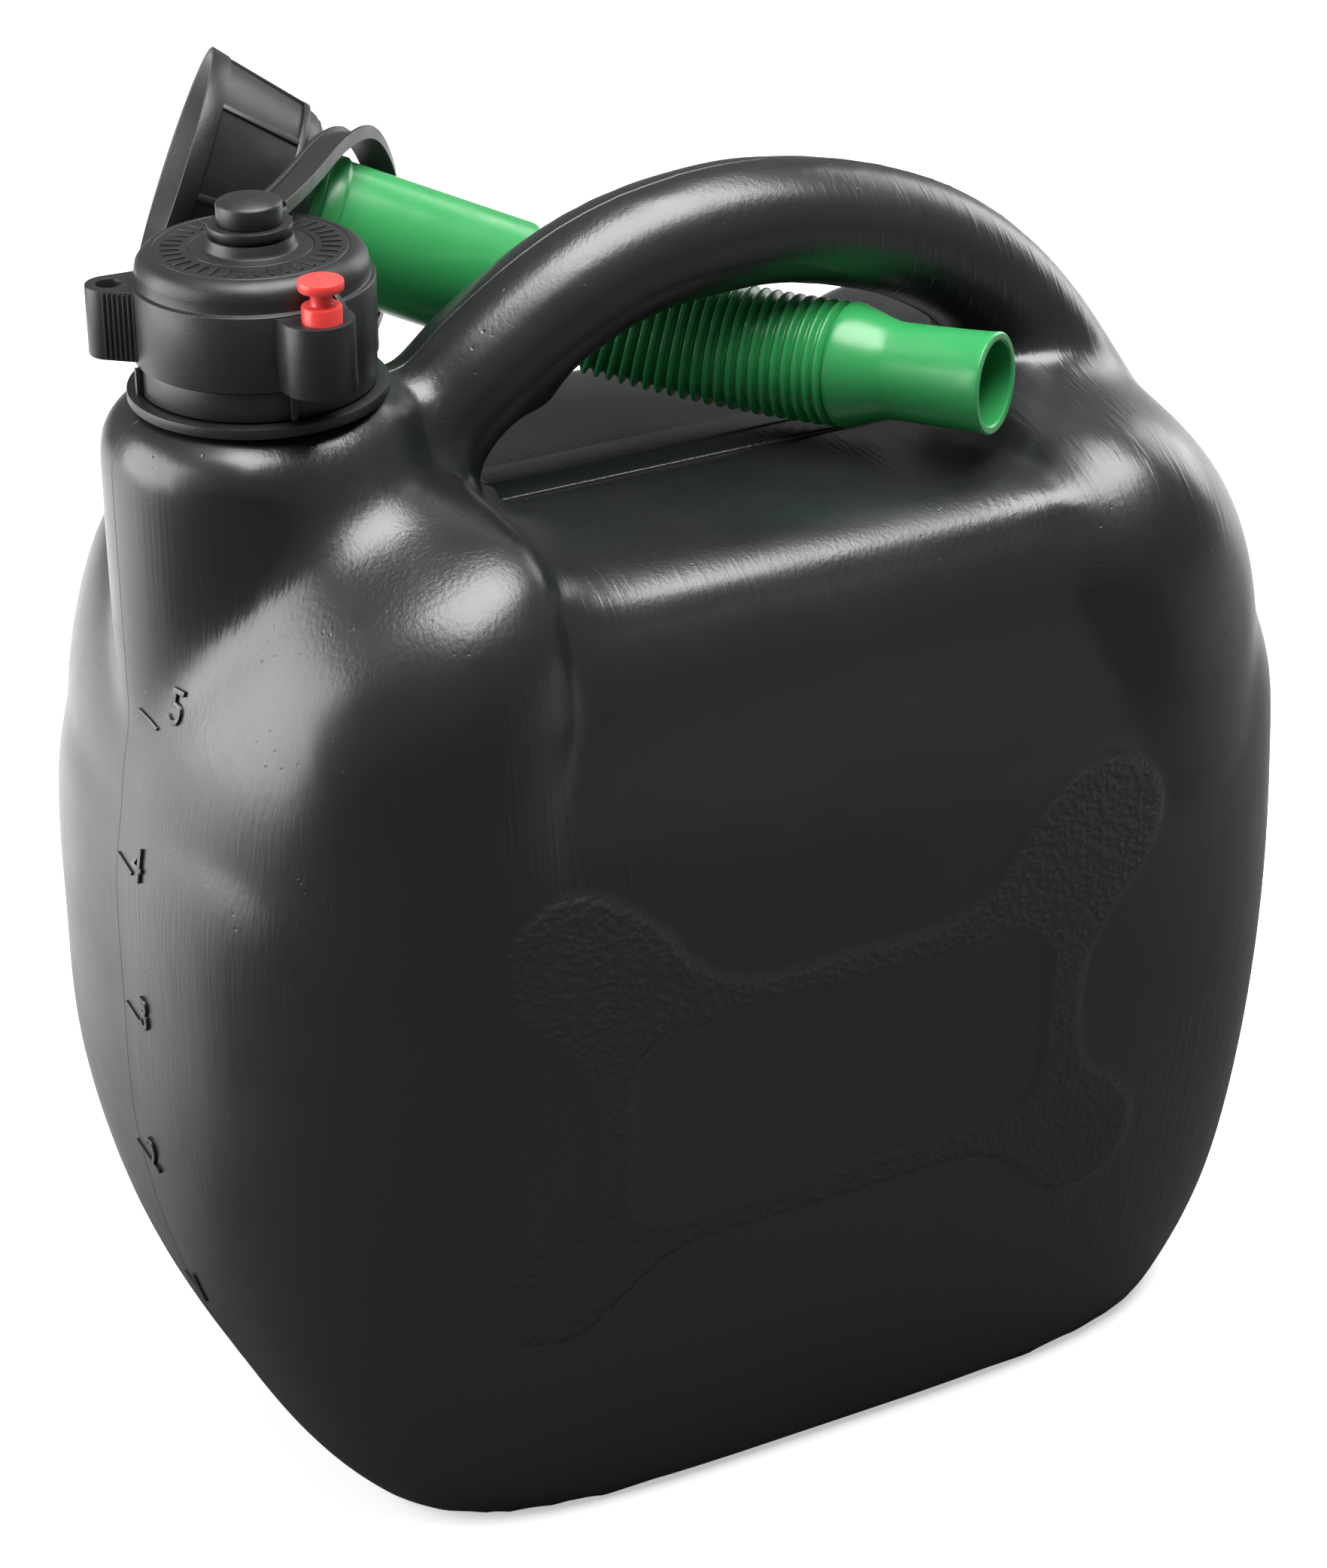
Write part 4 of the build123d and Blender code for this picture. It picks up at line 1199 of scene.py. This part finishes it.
# %% Screw collar
COLLAR_RIBS = 8
COLLAR_RIB_START = 2.6
COLLAR_RIB_LENGTH = 18.6
COLLAR_RIB_REACH = 23.75
COLLAR_RIB_TAPER = 3.9
collar_profile = [
    (25.3, 0), (24.45, 3.8), (23.75, 3.85), (20.1, 20.6), (19.75, 21.6), (19.2, 22.8), (18.2, 23.9),
    (16.9, 25.0), (15.6, 25.5), (13.35, 25.5), (13.35, 23.9), (THREAD_BORE, 23.9), (THREAD_BORE, 9.0),
    (22.15, 3.9), (23.7, 0),
]


def collar_rib():
    """One rib along the skirt, from the rim to the back shoulder."""
    rib = block(1.5, 1.5, COLLAR_RIB_LENGTH)
    for vertex in rib.verts:
        share = vertex.co.z / (COLLAR_RIB_LENGTH * MM)
        vertex.co.x += (COLLAR_RIB_REACH - share * COLLAR_RIB_TAPER) * MM
    return soften(rib, 0.3)


collar_shape = soften(turned(collar_profile, 128), 0.25, angle=35)
for index in range(COLLAR_RIBS):
    add_to(collar_shape, collar_rib(), spoke(360 * (index + 0.5) / COLLAR_RIBS, 0, COLLAR_RIB_START))
back_hoop = soften(turned([(19.2, 19.7), (21.0, 19.5), (20.7, 21.0), (19.2, 21.4)], 128), 0.3)
add_to(collar_shape, back_hoop)
add_to(collar_shape, thread_ridge(THREAD_BORE, -THREAD_DEPTH, 1, COLLAR_THREAD_START))
finish_piece("collar", collar_shape, "black_cap_plastic", "collar", ("spout_collar",), on_spout)

# %% [markdown]
# Tube, bellows and nozzle
#
# The green spout is one moulding, made here as three pieces because the middle bends. The bellows is a
# profile that waves in and out once a rib, spun, and wrapped round the bend.

# %% Spout tube, bellows and nozzle
RIBS = 27
RIB_ROOT = 10.9
RIB_CREST = 12.35
RIB_SHAPE = [
    (0, RIB_ROOT), (0.14, 11.15), (0.3, 12.1), (0.42, RIB_CREST), (0.58, RIB_CREST), (0.7, 12.1),
    (0.86, 11.15),
]
BORE = 9.7
BLEND_MARGIN = 4
rib_pitch = BELLOWS_LENGTH / RIBS
tube_profile = [
    (11.7, 21.8), (17.6, 21.8), (17.6, 23.6), (13.0, 23.6), (13.0, 27.8), (13.55, 28.2), (13.55, 31.6),
    (13.0, 32.0), (13.0, 69.9), (12.6, 70.9), (RIB_ROOT, SPOUT_STRAIGHT + 0.3), (BORE, SPOUT_STRAIGHT + 0.3),
    (11.7, 68.3),
]
tube_shape = soften(turned(tube_profile), 0.3, angle=30)
NUB_ANGLE = 150
nub = bmesh.new()
bmesh.ops.create_uvsphere(nub, u_segments=20, v_segments=12, radius=2.2 * MM)
add_to(tube_shape, nub, spoke(NUB_ANGLE, 13.0, 29.6))
finish_piece("spout_straight", tube_shape, "green_polyethylene", "can", ("spout_tube",), on_spout)


def bellows_profile():
    """The outside of the ribs from the tube to the nozzle, and the bore back."""
    outside = []
    for index in range(RIBS):
        start = SPOUT_STRAIGHT + index * rib_pitch
        outside += [(radius, start + share * rib_pitch) for share, radius in RIB_SHAPE]
    end = SPOUT_STRAIGHT + BELLOWS_LENGTH
    outside.append((RIB_ROOT, end))
    inside = [(BORE, end - index * rib_pitch) for index in range(RIBS + 1)]
    return outside + inside


bellows_shape = wrap_round_bend(turned(bellows_profile(), 72))
bellows = finish_piece(
    "bellows", bellows_shape, "green_polyethylene", None, ("spout_bellows",), sharp=80, fix_normals=True
)
bellows_start = spout_place(SPOUT_STRAIGHT + BLEND_MARGIN).translation
bellows_end = spout_place(SPOUT_STRAIGHT + BELLOWS_LENGTH - BLEND_MARGIN).translation
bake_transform(bellows)

nozzle_profile = [
    (RIB_ROOT, -0.2), (11.9, 0.5), (RIB_CREST, 1.2), (12.1, 2.6), (11.3, 5.0), (10.1, 8.6), (9.6, 10.5),
    (9.5, 12.0), (9.6, 24.0), (9.8, 30.0), (10.0, 31.6), (9.6, NOZZLE_LENGTH), (8.5, NOZZLE_LENGTH),
    (8.2, 31.5), (8.2, 10.5), (BORE, 0.0),
]
finish_piece(
    "nozzle", soften(turned(nozzle_profile), 0.15, angle=40), "green_polyethylene", "nozzle",
    ("spout_nozzle",), spout_place(SPOUT_STRAIGHT + BELLOWS_LENGTH),
)

# %% [markdown]
# The tether strap
#
# The strap is a soft channel: a flat web with a raised rim along each edge. It leaves the eyelet, climbs
# over the spout's tube and comes back under it to the ring on the neck. The route is a few listed points;
# a smooth curve runs through their neighbourhood, and the channel's section is extruded along it step by
# step.

# %% Tether strap
STRAP_ROUTE = [
    (-82.4, 7.1, 263.2), (-76.0, 13.5, 263.2), (-68.5, 22.0, 263.3), (-60.5, 31.5, 263.6),
    (-53.0, 39.0, 263.2), (-46.5, 46.5, 260.2), (-41.0, 53.0, 254.0), (-37.5, 56.5, 246.0),
    (-37.5, 58.0, 237.0), (-40.0, 55.5, 228.5), (-45.5, 48.5, 223.0), (-52.5, 40.0, 221.5),
    (-59.5, 32.0, 224.5), (-64.0, 27.2, 230.0), (-68.0, 23.0, 232.7), (-70.6, 20.2, 232.8),
]
STRAP_SECTION = [
    (-3.1, -0.8), (3.1, -0.8), (3.1, 1.6), (2.95, 1.75), (2.4, 1.75), (2.2, 1.6), (2.05, 0.7), (-2.05, 0.7),
    (-2.2, 1.6), (-2.4, 1.75), (-2.95, 1.75), (-3.1, 1.6),
]
STRAP_SPLIT = 0.52


def smooth_route(points):
    """Evenly smooth points along a route given in millimetres."""
    curve = bpy.data.curves.new("route", "CURVE")
    curve.dimensions = "3D"
    spline = curve.splines.new("NURBS")
    spline.points.add(len(points) - 1)
    for target, point in zip(spline.points, points):
        target.co = (point[0] * MM, point[1] * MM, point[2] * MM, 1)
    spline.order_u = 3
    spline.use_endpoint_u = True
    spline.resolution_u = 6
    return [v.co.copy() for v in curve_mesh(curve).vertices]


def route_places(points):
    """A place for each point: its x lies across the strap, and its z runs along it."""
    level = Vector((spout_run.x, spout_run.y, 0)).normalized()
    places = []
    for index, point in enumerate(points):
        ahead = points[min(index + 1, len(points) - 1)]
        behind = points[max(index - 1, 0)]
        along = (ahead - behind).normalized()
        side = -(level - along * level.dot(along)).normalized()
        turn = Matrix((side, along.cross(side), along)).transposed().to_4x4()
        places.append(Matrix.Translation(point) @ turn)
    return places


def swept_channel(places):
    """The channel section carried from place to place, with closed ends."""
    strap = bmesh.new()
    corners = [strap.verts.new(places[0] @ Vector((u * MM, v * MM, 0))) for u, v in STRAP_SECTION]
    ring = [strap.edges.new(pair) for pair in zip(corners, corners[1:] + corners[:1])]
    for before, after in zip(places, places[1:]):
        known = set(strap.verts)
        bmesh.ops.extrude_edge_only(strap, edges=ring)
        grown = [vertex for vertex in strap.verts if vertex not in known]
        bmesh.ops.transform(strap, matrix=after @ before.inverted(), verts=grown)
        ring = [edge for edge in strap.edges if not known.intersection(edge.verts)]
    bmesh.ops.holes_fill(strap, edges=strap.edges[:], sides=0)
    bmesh.ops.recalc_face_normals(strap, faces=strap.faces)
    return strap


strap_places = route_places(smooth_route(STRAP_ROUTE))
split = int(len(strap_places) * STRAP_SPLIT)
strap_upper = finish_piece(
    "strap_upper", swept_channel(strap_places[: split + 1]), "black_cap_plastic", None, ("tether_strap",)
)
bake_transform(strap_upper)
finish_piece(
    "strap_lower", swept_channel(strap_places[split:]), "black_cap_plastic", "can", ("tether_strap",)
)

# %% [markdown]
# Floor and light
#
# Black plastic shows what it reflects, so the light is built from large soft panels. One hangs over the
# can and draws the broad highlights on its shoulders, and one stands at each side to light the edges. The
# floor and the surroundings are white to the camera, and the can's shadow still falls on the floor. What
# the can reflects of the floor is painted light: the floor is painted bright behind and beside the can, as
# if lit there, and painted dark in front of it as painted shade.

# %% Floor and light
FLOOR_SIZE = 12
FLOOR_DROP = 0.0005
FLOOR_WHITE = 0.9
# Painted light and shade on the floor, seen only in the can's reflections: dark in front of the can, bright
# behind and beside it.
FLOOR_PAINTED_SHADE = 0.1
FLOOR_PAINTED_LIGHT_BEHIND = 0.9
FLOOR_BEHIND_SPAN = (0.04, 0.36)
FLOOR_PAINTED_LIGHT_BESIDE = 0.4
FLOOR_BESIDE_SPAN = (0.2, 0.9)
FLOOR_GLOW = 0.45
WORLD_REFLECTED = 0.25


def panel_light(name, place, aim, width, height, power):
    """A soft rectangular light that looks at a point."""
    data = bpy.data.lights.new(name, "AREA")
    data.shape = "RECTANGLE"
    data.size = width
    data.size_y = height
    data.energy = power
    light = bpy.data.objects.new(name, data)
    light.location = place
    light.rotation_euler = (Vector(aim) - Vector(place)).to_track_quat("-Z", "Y").to_euler()
    bpy.context.scene.collection.objects.link(light)


def white_floor():
    """A wide floor that is white to the camera; to everything else it carries painted light behind and
    beside the can and painted shade in front of it.
    """
    shape = bmesh.new()
    bmesh.ops.create_grid(shape, x_segments=1, y_segments=1, size=FLOOR_SIZE / 2)
    floor = loose_object("floor", shift(shape, z=-FLOOR_DROP / MM))
    finish, tree, shader, place = new_finish("floor_white", (FLOOR_WHITE, FLOOR_WHITE, FLOOR_WHITE, 1), 0.9)
    shader.inputs["Specular IOR Level"].default_value = 0
    rays = tree.nodes.new("ShaderNodeLightPath")
    split = tree.nodes.new("ShaderNodeSeparateXYZ")
    tree.links.new(place.outputs["Object"], split.inputs["Vector"])
    # Painted reflection: to rays other than the camera's the floor is painted bright behind and beside the
    # can and dark in front, as if lit unevenly.
    behind = remap(tree, split.outputs["Y"], *FLOOR_BEHIND_SPAN, FLOOR_PAINTED_SHADE, FLOOR_PAINTED_LIGHT_BEHIND)
    beside = remap(tree, split.outputs["X"], *FLOOR_BESIDE_SPAN, FLOOR_PAINTED_SHADE, FLOOR_PAINTED_LIGHT_BESIDE)
    painted_reflection = combine(tree, "MAXIMUM", behind, beside)
    paint = tree.nodes.new("ShaderNodeMix")
    paint.inputs["B"].default_value = FLOOR_WHITE
    tree.links.new(rays.outputs["Is Camera Ray"], paint.inputs["Factor"])
    tree.links.new(painted_reflection, paint.inputs["A"])
    tree.links.new(paint.outputs["Result"], shader.inputs["Base Color"])
    shader.inputs["Emission Color"].default_value = (1, 1, 1, 1)
    glow = combine(tree, "MULTIPLY", rays.outputs["Is Camera Ray"], FLOOR_GLOW)
    tree.links.new(glow, shader.inputs["Emission Strength"])
    floor.data.materials.append(finish)


def pale_world():
    """Surroundings that are white to the camera and a soft grey to everything else."""
    world = bpy.data.worlds.new("studio")
    world.use_nodes = True
    tree = world.node_tree
    background = tree.nodes["Background"]
    background.inputs["Color"].default_value = (1, 1, 1, 1)
    rays = tree.nodes.new("ShaderNodeLightPath")
    strength = tree.nodes.new("ShaderNodeMix")
    strength.inputs["A"].default_value = WORLD_REFLECTED
    strength.inputs["B"].default_value = 1.0
    tree.links.new(rays.outputs["Is Camera Ray"], strength.inputs["Factor"])
    tree.links.new(strength.outputs["Result"], background.inputs["Strength"])
    bpy.context.scene.world = world


white_floor()
pale_world()
panel_light("overhead", (0.1, -0.2, 1.5), (0, 0, 0.15), 1.3, 1.0, 46)
panel_light("left", (-1.3, 0.5, 0.55), (0, 0, 0.15), 1.4, 1.2, 32)
panel_light("right", (1.2, 0.5, 0.6), (0, 0, 0.15), 0.6, 1.0, 7)
bpy.context.scene.view_settings.view_transform = "Standard"
